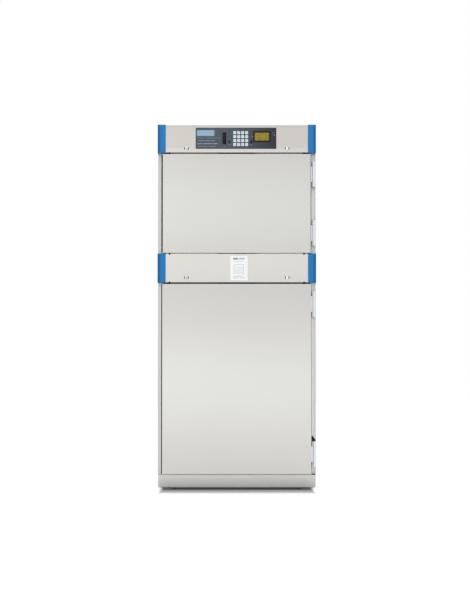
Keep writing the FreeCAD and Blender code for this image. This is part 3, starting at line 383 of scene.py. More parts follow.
finishes = {
    "steel": finish("brushed_steel", shade(223, 223, 219), 0.42, 1.0, UPRIGHT, 0.004, 0.06),
    "base_steel": finish("base_steel", shade(211, 212, 206), 0.45, 1.0, ALONG, 0.004, 0.06),
    "back_steel": finish("mill_steel", shade(196, 196, 192), 0.5, 1.0, UPRIGHT, 0.004, 0.05),
    "liner_steel": finish("liner_steel", shade(206, 206, 203), 0.3, 1.0, UPRIGHT, 0.003, 0.04),
    "wire_chrome": finish("bright_wire", shade(214, 215, 217), 0.14, 1.0, grain_depth=0.002),
    "hinge_chrome": finish("satin_hinge", shade(219, 221, 226), 0.24, 1.0, ALONG, 0.002, 0.04),
    "fastener_chrome": finish("bright_fastener", shade(240, 240, 238), 0.1, 1.0),
    "heater_steel": finish("heat_tinted_steel", shade(120, 110, 100), 0.4, 1.0),
    "wheel_aluminium": finish("pressed_aluminium", shade(205, 206, 208), 0.4, 1.0),
    "foot_steel": finish("plated_foot", shade(150, 150, 150), 0.45, 1.0),
}
header_steel = finish("header_steel", shade(225, 224, 219), 0.42, 1.0, ALONG, 0.004, 0.06)
cover_steel = finish("cover_steel", shade(218, 217, 212), 0.42, 1.0, ALONG, 0.004, 0.06)
stile_steel = finish("stile_steel", shade(223, 223, 219), 0.46, 1.0, UPRIGHT, 0.004, 0.06)
special = {
    "header_fascia": header_steel,
    "middle_fascia": cover_steel,
    "face_frame": stile_steel,
}
print("metals:", len(finishes) + len(special))

# %% [markdown]
# ### Painted sheen and painted shade
#
# Sheet also darkens where it faces away from the light or lies under an overhang. More lamps could
# draw such shades, but they would light everything else too, so each shade is a ramp along one
# axis, multiplied over the steel. The case and the doors are a little darker high up, the header
# is brighter at its foot and fades at its top, the plinth darkens towards the floor, and the frame
# behind the doors darkens round its outer folds.

# %% Painted sheen and painted shade ramps
SHEEN_DARKEST = (0.87, 0.85, 0.85)


def grey(level):
    return (level, level, level)


def rise_of(node):
    """The heights of a node's foot and head."""
    low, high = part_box(node)
    return low.z, high.z


# Painted sheen: slow bright and dark waves up the doors, the case and both covers.
paint_sheen_waves(finishes["steel"], SHEEN_DARKEST, 0.85, 0.5)
paint_sheen_waves(cover_steel, SHEEN_DARKEST, 1.1, 1.2)
paint_sheen_waves(header_steel, SHEEN_DARKEST, 1.1, 1.2)

plain, softer = grey(1.0), grey(0.92)
stops = [(0.0, plain), (0.5, plain), (0.62, softer), (1.0, softer)]
add_axis_ramp(finishes["steel"], "Z", (case_low, case_high), stops)
# Painted shade: the plinth darkens towards the floor.
plinth_foot_shade = (0.76, 0.75, 0.75)
stops = [(0.0, plinth_foot_shade), (0.12, plinth_foot_shade), (1.0, plain)]
add_axis_ramp(finishes["base_steel"], "Z", rise_of("base_plinth"), stops)
stops = [(0.0, plain), (0.1, plain), (0.22, softer), (0.88, softer), (1.0, grey(0.84))]
add_axis_ramp(header_steel, "Z", rise_of("header_fascia"), stops)
fold = grey(0.86)
stops = [(0.0, fold), (0.0125, fold), (0.0158, plain)]
stops += [(0.9842, plain), (0.9875, fold), (1.0, fold)]
add_axis_ramp(stile_steel, "X", (case_left, case_right), stops)
print("steels with drift: 3, with ramps: 4")

# %% [markdown]
# ### Plastics, rubber and paint
#
# The corner caps are a moulded blue plastic with a light orange-peel skin, and painted shade
# darkens the outer rounding of each cap where it turns away from the light. Rubber is dark and
# dull, keys are a cool off-white, and the panel is a glossy film that lightens slightly from right
# to left.

# %% Other finishes
finishes |= {
    "blue_plastic": finish(
        "blue_cap_plastic",
        shade(34, 133, 202),
        0.42,
        grain=(260, 260, 260),
        grain_depth=0.02,
        specular=0.25,
    ),
    "black_rubber": finish(
        "buffer_rubber_and_end_shade", shade(12, 12, 12), 0.8, grain_depth=0.02, specular=0.2
    ),
    "gasket_rubber": finish("gasket_rubber", shade(70, 70, 70), 0.65, grain_depth=0.02),
    "pull_plastic": finish("pull_plastic", shade(52, 52, 50), 0.55, grain_depth=0.03),
    "black_plastic": finish(
        "bezel_plastic", shade(20, 20, 21), 0.4, grain_depth=0.02, specular=0.25
    ),
    "board": finish("circuit_board", shade(30, 92, 52), 0.35, cloud=(60, 60, 60)),
    "white_plate": finish("white_plate", shade(252, 254, 254), 0.4, 0.6, grain_depth=0.005),
    "key_plastic": finish("key_plastic", shade(238, 250, 255), 0.42, grain_depth=0.01),
    "button_plastic": finish(
        "button_plastic", shade(14, 14, 14), 0.2, grain_depth=0.005, specular=0.3
    ),
    "motor_paint": finish("motor_paint", shade(58, 60, 62), 0.45, grain_depth=0.03),
    "insulation": finish(
        "mineral_wool", shade(196, 180, 120), 0.95, grain=(250, 250, 250), grain_depth=0.6
    ),
}
# Painted shade on the outer rounding of each cap; the rest of each cap is tinted a little lighter.
cap_rounding_shade, inner = (0.34, 0.52, 0.66), (1.2, 1.07, 1.05)
stops = [(0.0, inner), (0.001, cap_rounding_shade), (0.008, cap_rounding_shade), (0.022, inner)]
stops += [(0.978, inner), (0.992, cap_rounding_shade), (0.999, cap_rounding_shade), (1.0, inner)]
add_axis_ramp(finishes["blue_plastic"], "X", (case_left, case_right), stops)
print("finishes:", sorted(finishes))

# %% [markdown]
# ### The panel film and the windows
#
# The control panel is a printed film under a hard gloss coat, slate grey and a little lighter at
# its left end. The display is an amber screen of small cells under glass, and the indicator is a
# black window with one dim red band.

# %% Panel and window finishes
panel_low, panel_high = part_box("control_panel")
panel_film = finish("panel_film", (1, 1, 1), 0.22, grain_depth=0.004, specular=0.3)
stops = [(0.0, shade(84, 95, 107)), (0.5, shade(86, 96, 105)), (1.0, shade(46, 50, 60))]
add_axis_ramp(panel_film, "X", (panel_low.x, panel_high.x), stops)
finishes["panel_gloss"] = panel_film
finishes["display"] = finish(
    "screen_surround", shade(14, 14, 14), 0.3, grain_depth=0.002, specular=0.2
)
print("panel", [round(v / MM) for v in (panel_low.x, panel_high.x)], "mm")

# %% [markdown]
# ## Dress the steelwork
#
# Each ready-made node names the slot that its finish belongs to, so one loop dresses all of them.
# The two covers and the frame behind the doors have steels of their own.

# %% Dress every node
for part in frame["record"]["subparts"]:
    dressed = frame["nodes"][part["node"]]
    material = special.get(part["node"], finishes[part["material_slot"]])
    dressed.data.materials.clear()
    dressed.data.materials.append(material)

# %% [markdown]
# ## Lofted pieces
#
# Keys, buttons, fasteners and studs are all the same kind of solid: a stack of closed outlines
# with a skin between them. One loft makes them all. An outline is a list of points in the plane of
# the panel, and each layer of the stack places it at a depth, grown or shrunk by some amount.


# %% Outlines and lofts
def oval(width, height, steps=32):
    """An ellipse of that width and height about the origin."""
    turns = [2 * math.pi * n / steps for n in range(steps)]
    return [(math.cos(t) * width / 2, math.sin(t) * height / 2) for t in turns]


def soft_rectangle(width, height, radius, steps=6):
    """A rectangle with rounded corners about the origin."""
    points = []
    for quarter, (right, up) in enumerate(((1, 1), (-1, 1), (-1, -1), (1, -1))):
        x, z = right * (width / 2 - radius), up * (height / 2 - radius)
        for n in range(steps + 1):
            turn = math.pi / 2 * (quarter + n / steps)
            points.append((x + radius * math.cos(turn), z + radius * math.sin(turn)))
    return points


def stand(outline, middle, depth):
    """An outline stood upright about a middle, at a depth."""
    return [(middle.x + x, depth, middle.z + z) for x, z in outline]


def loft(layers):
    """A closed mesh through a stack of outlines: each layer is its points in three dimensions."""
    shape = bmesh.new()
    rings = [[shape.verts.new(point) for point in layer] for layer in layers]
    count = len(rings[0])
    for lower, upper in zip(rings, rings[1:]):
        for n in range(count):
            after = (n + 1) % count
            shape.faces.new((lower[n], lower[after], upper[after], upper[n]))
    shape.faces.new(rings[0])
    shape.faces.new(rings[-1])
    bmesh.ops.recalc_face_normals(shape, faces=shape.faces)
    return shape


print("outlines: oval, soft rectangle")

# %% [markdown]
# ### From shape to piece
#
# A shape becomes a mesh whose gentle edges are shaded smooth. Its sharp edges stay crisp, because
# smoothing those would smear the light round a corner. A mesh becomes a piece once it has a finish
# and a body to ride on. A piece may stand for a ready-made node.


# %% Meshes and pieces
def to_mesh(name, shape, smooth_angle=35):
    """Turn a shape into a mesh whose gentle edges are shaded smooth."""
    mesh = bpy.data.meshes.new(name)
    shape.to_mesh(mesh)
    shape.free()
    mesh.shade_smooth()
    mesh.set_sharp_from_angle(angle=math.radians(smooth_angle))
    return mesh


def joined(shapes):
    """One shape from several."""
    whole = bmesh.new()
    for shape in shapes:
        part = bpy.data.meshes.new("part")
        shape.to_mesh(part)
        shape.free()
        whole.from_mesh(part)
    return whole


def add_piece(name, mesh, material, body, slot, *replaced):
    """Put a mesh into the scene as a piece that moves with a body."""
    piece = put(name, mesh)
    mesh.materials.clear()
    mesh.materials.append(material)
    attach(piece, body)
    if replaced:
        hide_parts(*replaced)


def add_shape(name, shape, material, body, slot, *replaced):
    """Put a shape into the scene as a piece that moves with a body."""
    add_piece(name, to_mesh(name, shape), material, body, slot, *replaced)


print("pieces start from", len(frame["nodes"]), "ready-made nodes")

# %% [markdown]
# ## The keypad
#
# Sixteen square keys with rounded corners stand a little proud of the film. Each cap is a loft
# that rises from behind the panel, turns over a small radius and ends in a shallow dish for the
# fingertip. A solid box would show none of that. Each cap is its own piece, because each key is
# pressed on its own.

# %% Key caps
KEY = 14.6 * MM
KEY_RADIUS = 2.6 * MM
KEY_BACK = 2.2 * MM
KEY_EDGE = 0.7 * MM
DISH = 0.35 * MM
DISH_REACH = KEY / 2 - 1.5 * KEY_EDGE


def key_outline(inset):
    """A key's outline, drawn in by an inset, with corners that stay round."""
    side = KEY - 2 * inset
    return soft_rectangle(side, side, max(KEY_RADIUS - inset, side * 0.15))


def key_cap(middle):
    """A dished cap, from its back to the middle of its dish."""
    profile = [(0.0, KEY_BACK + KEY_EDGE), (0.0, KEY_EDGE)]
    for n in range(1, 5):
        turn = math.pi / 2 * n / 4
        profile.append((KEY_EDGE * (1 - math.cos(turn)), KEY_EDGE * (1 - math.sin(turn))))
    for share in (0.3, 0.6, 0.85):
        profile.append((KEY_EDGE + DISH_REACH * share, DISH * math.sin(math.pi / 2 * share)))
    return loft([stand(key_outline(inset), middle, FRONT + depth) for inset, depth in profile])


keys = sorted(name for name in frame["nodes"] if name.startswith("key_"))
for name in keys:
    cap = name + "_cap"
    add_shape(cap, key_cap(middle_of(name)), finishes["key_plastic"], cap, "key_plastic", name)
print("keys:", len(keys))

# %% [markdown]
# ### What is printed on the keys
#
# The keys carry plain digits, arrows and dots. A text object gives the digits. It is turned into a
# mesh before it is placed, then laid on the dish a hair above its surface.

# %% Key legends
LEGENDS = ["1", "2", "3", "", "4", "5", "6", "", "7", "8", "9", "", "", "0", "", ""]
ARROW_TURNS = {3: 0, 7: 180, 11: 90, 15: 270}
LEGEND_HEIGHT = 6.2 * MM
CAPITAL_SHARE = 0.72
ARROW_SIZE = 5.4 * MM
DOT_SIZE = 3.4 * MM
INK_LIFT = 0.03 * MM
legend_ink = finish("legend_ink", shade(178, 188, 196), 0.5, grain_depth=0.0)


def flat_text(words, height):
    """The faces of some text, centred on the origin in the XZ plane, facing -Y."""
    curve = bpy.data.curves.new("lettering", "FONT")
    curve.body = words
    curve.size = height / CAPITAL_SHARE
    curve.align_x = "CENTER"
    curve.align_y = "CENTER"
    writing = put("lettering", curve)
    bpy.context.view_layer.update()
    mesh = bpy.data.meshes.new_from_object(writing)
    bpy.data.objects.remove(writing)
    mesh.transform(Matrix.Rotation(math.pi / 2, 4, "X"))
    return mesh


def arrow(size, degrees):
    """A small solid triangle in the XZ plane, pointing up before it is turned."""
    corners = [(-size / 2, 0, -size * 0.4), (size / 2, 0, -size * 0.4), (0, 0, size * 0.5)]
    mesh = plain_mesh("arrow", corners, [(0, 1, 2)])
    mesh.transform(Matrix.Rotation(math.radians(degrees), 4, "Y"))
    return mesh


def lay_on_dish(mesh, centre):
    """Move a flat mesh onto a key's dish."""
    for vertex in mesh.vertices:
        out = max(abs(vertex.co.x), abs(vertex.co.z)) / DISH_REACH
        vertex.co.y = FRONT + DISH * math.sin(math.pi / 2 * max(0, 1 - out)) - INK_LIFT
        vertex.co.x += centre.x
        vertex.co.z += centre.z


for number, name in enumerate(keys):
    if LEGENDS[number]:
        mesh = flat_text(LEGENDS[number], LEGEND_HEIGHT)
    elif number in ARROW_TURNS:
        mesh = arrow(ARROW_SIZE, ARROW_TURNS[number])
    else:
        dot = oval(DOT_SIZE, DOT_SIZE, 16)
        mesh = to_mesh("dot", loft([stand(dot, Vector(), depth) for depth in (0, 0.01 * MM)]))
    lay_on_dish(mesh, middle_of(name))
    add_piece(name + "_legend", mesh, legend_ink, name + "_cap", "black_plastic")
print("legends:", len(keys))

# %% [markdown]
# ## The two oval buttons
#
# Small glossy black buttons stand on either side of the keypad, each domed like a bead. They are
# lofts of ellipses whose width follows a quarter circle.


# %% Domes
def dome(middle, width, height, front, rise, back, steps=6):
    """An oval stud whose front is domed."""
    layers = [stand(oval(width, height), middle, front + rise + back)]
    for n in range(steps):
        turn = math.pi / 2 * n / steps
        shrink = math.cos(turn)
        outline = oval(width * shrink, height * shrink)
        layers.append(stand(outline, middle, front + rise * (1 - math.sin(turn))))
    return loft(layers)


for side, width in (("left", 8 * MM), ("right", 10 * MM)):
    name = side + "_round_button"
    bead = dome(middle_of(name), width, 14 * MM, FRONT, 1.4 * MM, 1.5 * MM)
    plastic = finishes["button_plastic"]
    add_shape(name + "_bead", bead, plastic, name + "_cap", "button_plastic", name)
print("oval buttons: 2")

# %% [markdown]
# ## The display and the indicator
#
# The display is a sheet of black glass with an amber area of character cells, sunk in its bezel.
# The indicator is a black upright lens with a column of dark bars behind it, one of them dimly
# red. Each has a thin bevelled glass that stands in the window, and its picture is laid on the
# glass as shapes of their own, so that it is sharp at any distance.


# %% Bevelled plates and flat bars
def plate(middle, width, height, radius, front, back, bevel):
    """A plate with rounded corners and a bevelled front edge, standing upright."""
    profile = [(back, 0), (front + bevel, 0), (front + bevel * 0.3, bevel * 0.3), (front, bevel)]
    layers = []
    for depth, inset in profile:
        corner = max(radius - inset, 0.1 * MM)
        outline = soft_rectangle(width - 2 * inset, height - 2 * inset, corner, 4)
        layers.append(stand(outline, middle, depth))
    return loft(layers)


def bars(rectangles, depth):
    """Flat marks facing forward: each is its left, bottom, right and top."""
    points = []
    for left, bottom, right, top in rectangles:
        corners = ((left, bottom), (right, bottom), (right, top), (left, top))
        points += [(x, depth, z) for x, z in corners]
    faces = [(n, n + 1, n + 2, n + 3) for n in range(0, len(points), 4)]
    return plain_mesh("bars", points, faces)


# %% Display
GLASS_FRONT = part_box("display_windows")[0].y
GLASS_BACK = GLASS_FRONT + 2 * MM
GLASS_WIDTH = 72 * MM
GLASS_HEIGHT = 42 * MM
SCREEN_WIDTH = 69 * MM
SCREEN_HEIGHT = 38.5 * MM
CELL_COLUMNS = 16
CELL_ROWS = 4
CELL_GAP = 0.35 * MM

middle = middle_of("display_bezel")
glass = plate(middle, GLASS_WIDTH, GLASS_HEIGHT, 0.8 * MM, GLASS_FRONT, GLASS_BACK, 0.4 * MM)
add_shape("display_glass", glass, finishes["display"], "cabinet", "display", "display_windows")

amber = finish("amber_cells", shade(170, 148, 58), 0.28, grain_depth=0.0, specular=0.2)
tree = amber.node_tree
wires = {
    "Vector": step(tree, "ShaderNodeTexCoord").outputs["Object"],
    "Location": (-middle.x, middle.z, 0),
    "Rotation": (math.pi / 2, 0, 0),
}
wires = {
    "Vector": step(tree, "ShaderNodeMapping", wires).outputs[0],
    "Scale": 1,
    "Brick Width": SCREEN_WIDTH / CELL_COLUMNS,
    "Row Height": SCREEN_HEIGHT / CELL_ROWS,
    "Mortar Size": CELL_GAP,
    "Mortar Smooth": 0.4,
    "Color1": (*shade(172, 150, 50), 1),
    "Color2": (*shade(146, 122, 36), 1),
    "Mortar": (*shade(180, 158, 62), 1),
}
cells = step(tree, "ShaderNodeTexBrick", wires, offset=0)
tree.links.new(cells.outputs["Color"], tree.nodes["Principled BSDF"].inputs["Base Color"])
front, back = GLASS_FRONT - 0.12 * MM, GLASS_FRONT + 0.5 * MM
screen = plate(middle, SCREEN_WIDTH, SCREEN_HEIGHT, 0.6 * MM, front, back, 0.05 * MM)
add_shape("display_screen", screen, amber, "cabinet", "display")
print("screen", SCREEN_WIDTH / MM, "x", SCREEN_HEIGHT / MM, "mm")

# %% Indicator
LENS_WIDTH = 17.6 * MM
LENS_HEIGHT = 56.6 * MM
BAR_COUNT = 10
BAR_PITCH = 5.0 * MM
BAR_HALF = 5.5 * MM
BAR_HEIGHT = 3.2 * MM
BAR_RISE = 0.9 * MM
LIT = 7

low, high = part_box("display_windows")
middle = Vector((low.x + LENS_WIDTH / 2, 0, low.z + LENS_HEIGHT / 2))
lens = plate(middle, LENS_WIDTH, LENS_HEIGHT, 1.2 * MM, GLASS_FRONT, GLASS_BACK, 0.3 * MM)
smoked = finish("indicator_glass", shade(16, 13, 14), 0.16, grain_depth=0.001, specular=0.15)
add_shape("indicator_lens", lens, smoked, "cabinet", "display", "display_windows")

column = []
for n in range(BAR_COUNT):
    bottom = middle.z + (n - BAR_COUNT / 2) * BAR_PITCH + BAR_RISE
    column.append((middle.x - BAR_HALF, bottom, middle.x + BAR_HALF, bottom + BAR_HEIGHT))
unlit = [bar for n, bar in enumerate(column) if n != LIT]
for name, label, tone, marks in (
    ("indicator_unlit", "unlit_bar", (34, 26, 27), unlit),
    ("indicator_lit", "dim_red_bar", (92, 32, 34), [column[LIT]]),
):
    paint = finish(label, shade(*tone), 0.4, grain_depth=0.002, specular=0.15)
    add_piece(name, bars(marks, GLASS_FRONT - 0.05 * MM), paint, "cabinet", "display")
print("indicator bars:", BAR_COUNT)

# %% [markdown]
# ## Printing on the panel
#
# The film carries a pale field at its left end, some ruled lines under it and small ticks beside
# the windows and buttons. Ink has no thickness worth modelling, so each mark is a flat face a few
# hundredths of a millimetre in front of the film. A darker line along the top and the foot is
# painted shade where the panel's edge steps, laid on as a mark of the same kind.

# %% Panel ink
INK_PLANE = PANEL_FACE - 0.05 * MM


def at_mm(*places):
    """Places typed in millimetres, in metres."""
    return [tuple(value * MM for value in place) for place in places]


def ink(name, tone, marks, plane=INK_PLANE, slot="panel_gloss"):
    """One colour of print, as one piece."""
    paint = finish(name + "_ink", shade(*tone), 0.35, grain_depth=0.002, cloud=(120, 120, 120))
    add_piece(name, bars(marks, plane), paint, "cabinet", slot)


ink("panel_field", (138, 184, 212), at_mm((-192.2, 1698.0, -107.6, 1727.2)))
heights = ((1719.5, 1722.0), (1711.2, 1713.8), (1703.0, 1705.5))
bands = [(-188.5, foot, -111.5, head) for foot, head in heights]
ink("panel_field_bands", (196, 218, 229), at_mm(*bands), INK_PLANE - 0.03 * MM)
print("panel field printed")


# %% Ruled lines and ticks
def dashes(foot, head, *reaches):
    """The dashes of one ruled line: its lower and upper edges, then both ends of each dash."""
    return [(left, foot, right, head) for left, right in reaches]


faint = dashes(1687.2, 1689.8, (-189, -150), (-146, -112), (-108, -82))
faint += dashes(1646.6, 1649.4, (-189, -140), (-136, -101))
middling = dashes(1674.0, 1677.2, (-186, -158), (-154, -128), (-124, -104))
strong = dashes(1659.6, 1662.8, (-190, -166), (-162, -120), (-116, -93))
ticks = [(-64, 1722.2, -56, 1723.6), (-63, 1645.4, -57, 1646.8), (-36.5, 1681.6, -33.5, 1683.4)]
ticks += [(-42, 1657.6, -28, 1659.6), (63, 1657.0, 74, 1658.8), (58, 1693.8, 64, 1695.4)]
ticks += [(172, 1714.6, 181, 1716.2), (169, 1704.0, 175, 1705.6)]
ink("panel_faint_lines", (128, 137, 148), at_mm(*faint))
ink("panel_middling_lines", (152, 162, 172), at_mm(*middling))
ink("panel_strong_lines", (172, 181, 189), at_mm(*strong))
ink("panel_ticks", (150, 156, 163), at_mm(*ticks))

left, foot, right, top = panel_low.x, panel_low.z, panel_high.x, panel_high.z
# Painted shade along the panel's top and foot edges.
edge_shade_bands = [(left, top - 2.4 * MM, right, top), (left, foot, right, foot + 1.4 * MM)]
ink("panel_edge_shade", (56, 66, 82), edge_shade_bands)
print("marks:", len(faint) + len(middling) + len(strong) + len(ticks))

# %% [markdown]
# ### Two small lamps
#
# A light-emitting diode shows as a bead of clear resin set in the film. It is a low dome: the same
# loft as the buttons, only round and pale.

# %% Beads
BEAD = 3.6 * MM
BEAD_RISE = 1.0 * MM
clear_bead = finish("clear_bead", shade(206, 212, 218), 0.18, grain_depth=0.001)
for name, x, z in (("bead_right", 181.3, 1702.4), ("bead_middle", 74.5, 1695.2)):
    middle = Vector((x * MM, 0, z * MM))
    bead = dome(middle, BEAD, BEAD, PANEL_FACE - BEAD_RISE, BEAD_RISE, 0.3 * MM)
    add_shape(name, bead, clear_bead, "cabinet", "display")
print("beads: 2")

# %% [markdown]
# ## The white plate
#
# A plain white card in the middle of the lower cover, with a heading bar, a ruled frame and a few
# ruled lines in pale grey, like a blank record card.

# %% Card print
card_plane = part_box("info_plate")[0].y - 0.04 * MM
pale = [(11, 1103, 38.5, 1112.5), (-18, 1013, 8, 1016), (14, 1013, 40, 1016), (-15, 1021, 30, 1024)]
ruled = [(-15, 1092, 33, 1094), (-15, 1034, -12, 1080), (31, 1034, 34, 1080)]
ruled += [(-12, 1078, 31, 1080), (-12, 1034, 31, 1036)]
rules = [(-8, z, 27, z + 1.6) for z in (1042, 1050, 1058, 1066)]
for name, tone, marks in (
    ("card_heading", (178, 184, 184), [(-18, 1102.5, 6.5, 1112.5)]),
    ("card_pale_bars", (214, 218, 224), pale),
    ("card_frame", (218, 223, 227), ruled),
    ("card_rules", (206, 211, 218), rules),
):
    ink(name, tone, at_mm(*marks), card_plane, "white_plate")
print("card bars:", len(pale) + len(ruled) + len(rules) + 1)

# %% [markdown]
# ## Quarter-turn fasteners
#
# Each cover is held by two chrome fasteners. A fastener is a shallow round dish with an upright
# oval grip across it, and a pocket on either side of the grip where the fingers go. The dish and
# the grip are lofts of circles and ovals. The pockets are crescents: strips between two arcs, dark
# with painted shade. The left ones also carry a dark dot of painted shade for a rivet hole. All of
# it turns with the fastener.

# %% Fastener shapes
DISH_PROFILE = [(10.7, 3.0), (11.0, 2.2), (10.9, 1.7), (10.5, 1.4)]
DISH_PROFILE += [(10.1, 1.5), (9.6, 2.0), (8.0, 2.3), (3.0, 2.4)]
GRIP_PROFILE = [(1.0, 2.5), (1.0, 0.9), (0.97, 0.5), (0.9, 0.25), (0.75, 0.12), (0.45, 0.05)]
POCKET_RADIUS = 10.9
POCKET_WIDTH = 3.7
POCKET_ANGLE = 41
GRIP_WIDTH = 10.4 * MM
GRIP_HEIGHT = 19 * MM


def dish(middle, front):
    """A shallow round dish with a rolled rim, from its back edge to the middle of its floor."""
    layers = []
    for radius, depth in DISH_PROFILE:
        width = 2 * radius * MM
        layers.append(stand(oval(width, width, 40), middle, front + depth * MM))
    return loft(layers)


def grip(middle, front):
    """An upright oval grip with a crowned front."""
    layers = []
    for share, depth in GRIP_PROFILE:
        outline = oval(GRIP_WIDTH * share, GRIP_HEIGHT * (0.35 + 0.65 * share))
        layers.append(stand(outline, middle, front + depth * MM))
    return loft(layers)


def pocket(middle, side, depth, steps=14):
    """A crescent of painted shade beside the grip, facing forward."""
    points = []
    for n in range(steps + 1):
        turn = math.radians(-POCKET_ANGLE + 2 * POCKET_ANGLE * n / steps)
        thin = 1 - abs(2 * n / steps - 1) ** 3
        for radius in (POCKET_RADIUS - POCKET_WIDTH * thin, POCKET_RADIUS):
            across = side * math.cos(turn) * radius * MM
            points.append((middle.x + across, depth, middle.z + math.sin(turn) * radius * MM))
    strip = [(2 * n, 2 * n + 1, 2 * n + 3, 2 * n + 2) for n in range(steps)]
    if side < 0:
        strip = [tuple(reversed(face)) for face in strip]
    return plain_mesh("pocket", points, strip)


# %% Place the fasteners
RIVET = 5.2 * MM
RIVET_DROP = 2.2 * MM
RIVET_RISE = 0.08 * MM

chrome = finishes["fastener_chrome"]
dish_steel = finish("dish_steel", shade(204, 203, 198), 0.4, 1.0)
# Painted shade: the dark crescents in the pockets and the dark dot for the rivet hole.
shadow = finish("pocket_shadow", shade(14, 14, 14), 0.7, grain_depth=0.005, specular=0.15)
front = FRONT + 0.1 * MM
fasteners = [f"{row}_fastener_{end}" for row in ("header", "middle") for end in ("left", "right")]
for name in fasteners:
    middle = middle_of(name)
    body = name + "_turn"
    add_shape(name + "_dish", dish(middle, front), dish_steel, body, "fastener_chrome", name)
    add_shape(name + "_grip", grip(middle, front), chrome, body, "fastener_chrome")
    for hand, side in (("left", -1), ("right", 1)):
        crescent = pocket(middle, side, front + 1.3 * MM)
        add_piece(f"{name}_{hand}_pocket", crescent, shadow, body, "black_plastic")
    if name.endswith("left"):
        middle = middle - Vector((0, 0, RIVET_DROP))
        rivet_hole_shade = dome(middle, RIVET, RIVET, front - RIVET_RISE, RIVET_RISE, 0.4 * MM, 4)
        add_shape(name + "_rivet", rivet_hole_shade, shadow, body, "black_plastic")
print("fasteners:", len(fasteners))

# %% [markdown]
# ## Rubber buffers and painted shade in the gaps
#
# Barrel-shaped rubber buffers keep a door from rattling against the covers, each with a round
# button on its front. A soft dark strip lies in each gap behind them as painted shade, greyer at
# its sides and blacker in its middle, and a short dark block of painted shade ends it on either
# side. A plain cylinder would look hard, so a buffer is a loft of rings that swell in its middle. A
# strip is one outline with a soft lip, drawn out along the gap.

# %% Buffers
GAP_ROWS = [
    (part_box("upper_door_skin")[1].z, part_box("header_fascia")[0].z),
    (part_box("middle_fascia")[1].z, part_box("upper_door_skin")[0].z),
    (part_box("lower_door_skin")[1].z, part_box("middle_fascia")[0].z),
]
BUFFER_X = 323 * MM
BUFFER_RADIUS = 3.6 * MM
BUFFER_DEPTH = 3.3 * MM
BUFFER_PLAY = 0.4 * MM
BUFFER_SHAPE = [(0.0, 0.72), (0.12, 0.9), (0.35, 1.0), (0.65, 1.0), (0.88, 0.9), (1.0, 0.72)]
BUTTONS = at_mm((1616.6, 3.9), (1130.4, 4.0), (992.4, 5.1))


def barrel(x, bottom, top):
    """A barrel that stands in a gap, clear of both its faces."""
    layers = []
    for share, width in BUFFER_SHAPE:
        height = bottom + BUFFER_PLAY + (top - bottom - 2 * BUFFER_PLAY) * share
        around = oval(2 * BUFFER_RADIUS * width, 2 * BUFFER_RADIUS * width, 20)
        layers.append([(x + dx, DOOR_FACE + BUFFER_DEPTH + dy, height) for dx, dy in around])
    return loft(layers)


shapes = []
for (bottom, top), (height, reach) in zip(GAP_ROWS, BUTTONS):
    for x in (-BUFFER_X, BUFFER_X):
        face = Vector((x, 0, height))
        button = dome(face, 2 * reach, 2 * reach, FRONT + 0.5 * MM, 1.2 * MM, 2.6 * MM, 5)
        shapes += [barrel(x, bottom, top), button]
black = finishes["black_rubber"]
add_shape("buffer_barrels", joined(shapes), black, "cabinet", "black_rubber", "rubber_buffers")
print("buffers:", 2 * len(GAP_ROWS))

# %% Gap shade strips
SHADE_STRIP_FRONT = DOOR_FACE + 7.5 * MM
SHADE_STRIP_HALF = 318 * MM
SHADE_STRIP_EXTRA = 22 * MM
SHADE_STRIP_CLEAR = 0.8 * MM
GAP_SHADE_TONES = {"top": (132, 72), "middle": (246, 158), "low": (70, 6)}
SHADE_STRIP_LIP = [(0, 1.2), (0.5, 0.35), (1.4, 0), (2.6, 0), (4, 1.2)]


def bar_along_x(outline, half):
    """A bar along X, centred, from an outline of depths and heights."""
    return loft([[(x, y, z) for y, z in outline] for x in (-half, 0, half)])


# Painted shade: each strip is a dark sheet in its gap, paler at the sides and darkest in the
# middle.
for (label, tones), (bottom, top) in zip(GAP_SHADE_TONES.items(), GAP_ROWS):
    name = label + "_gap_shade_paint"
    rubber = finish(name, (1, 1, 1), 0.9, grain_depth=0.02, specular=0.0)
    pale, dark = (shade(tone, tone, tone - 4) for tone in tones)
    stops = [(0.0, pale), (0.33, pale), (0.38, dark), (0.62, dark), (0.67, pale), (1.0, pale)]
    if label == "middle":
        foot, tip, lean, half = bottom, top - SHADE_STRIP_CLEAR, 1, SHADE_STRIP_HALF + SHADE_STRIP_EXTRA
    else:
        foot, tip, lean, half = top, bottom + SHADE_STRIP_CLEAR, -1, SHADE_STRIP_HALF
    add_axis_ramp(rubber, "X", (-half, half), stops)
    lip = [(SHADE_STRIP_FRONT + y * MM, tip - lean * z * MM) for y, z in SHADE_STRIP_LIP]
    outline = [(lip[0][0], foot), *lip, (lip[-1][0], foot)]
    add_shape(label + "_gap_shade_strip", bar_along_x(outline, half), rubber, "cabinet", "gasket_rubber")
print("seals:", len(GAP_SHADE_TONES))

# %% Shade blocks at the strip ends
SHADE_STRIP_LIMIT = 353 * MM
END_STARTS = (332, 342, 329)
END_PLAY = 1.2 * MM

# Painted shade: dark blocks at both ends of each strip.
shapes = []
for (bottom, top), begin in zip(GAP_ROWS, END_STARTS):
    start = begin * MM
    width, height = SHADE_STRIP_LIMIT - start, top - bottom - END_PLAY
    for side in (-1, 1):
        middle = Vector((side * (start + width / 2), 0, (bottom + top) / 2))
        front, back = SHADE_STRIP_FRONT - 2 * MM, SHADE_STRIP_FRONT + 2 * MM
        shapes.append(plate(middle, width, height, 1 * MM, front, back, 0.5 * MM))
add_shape("gap_end_shade_blocks", joined(shapes), black, "cabinet", "gasket_rubber")
print("seal ends:", len(shapes))

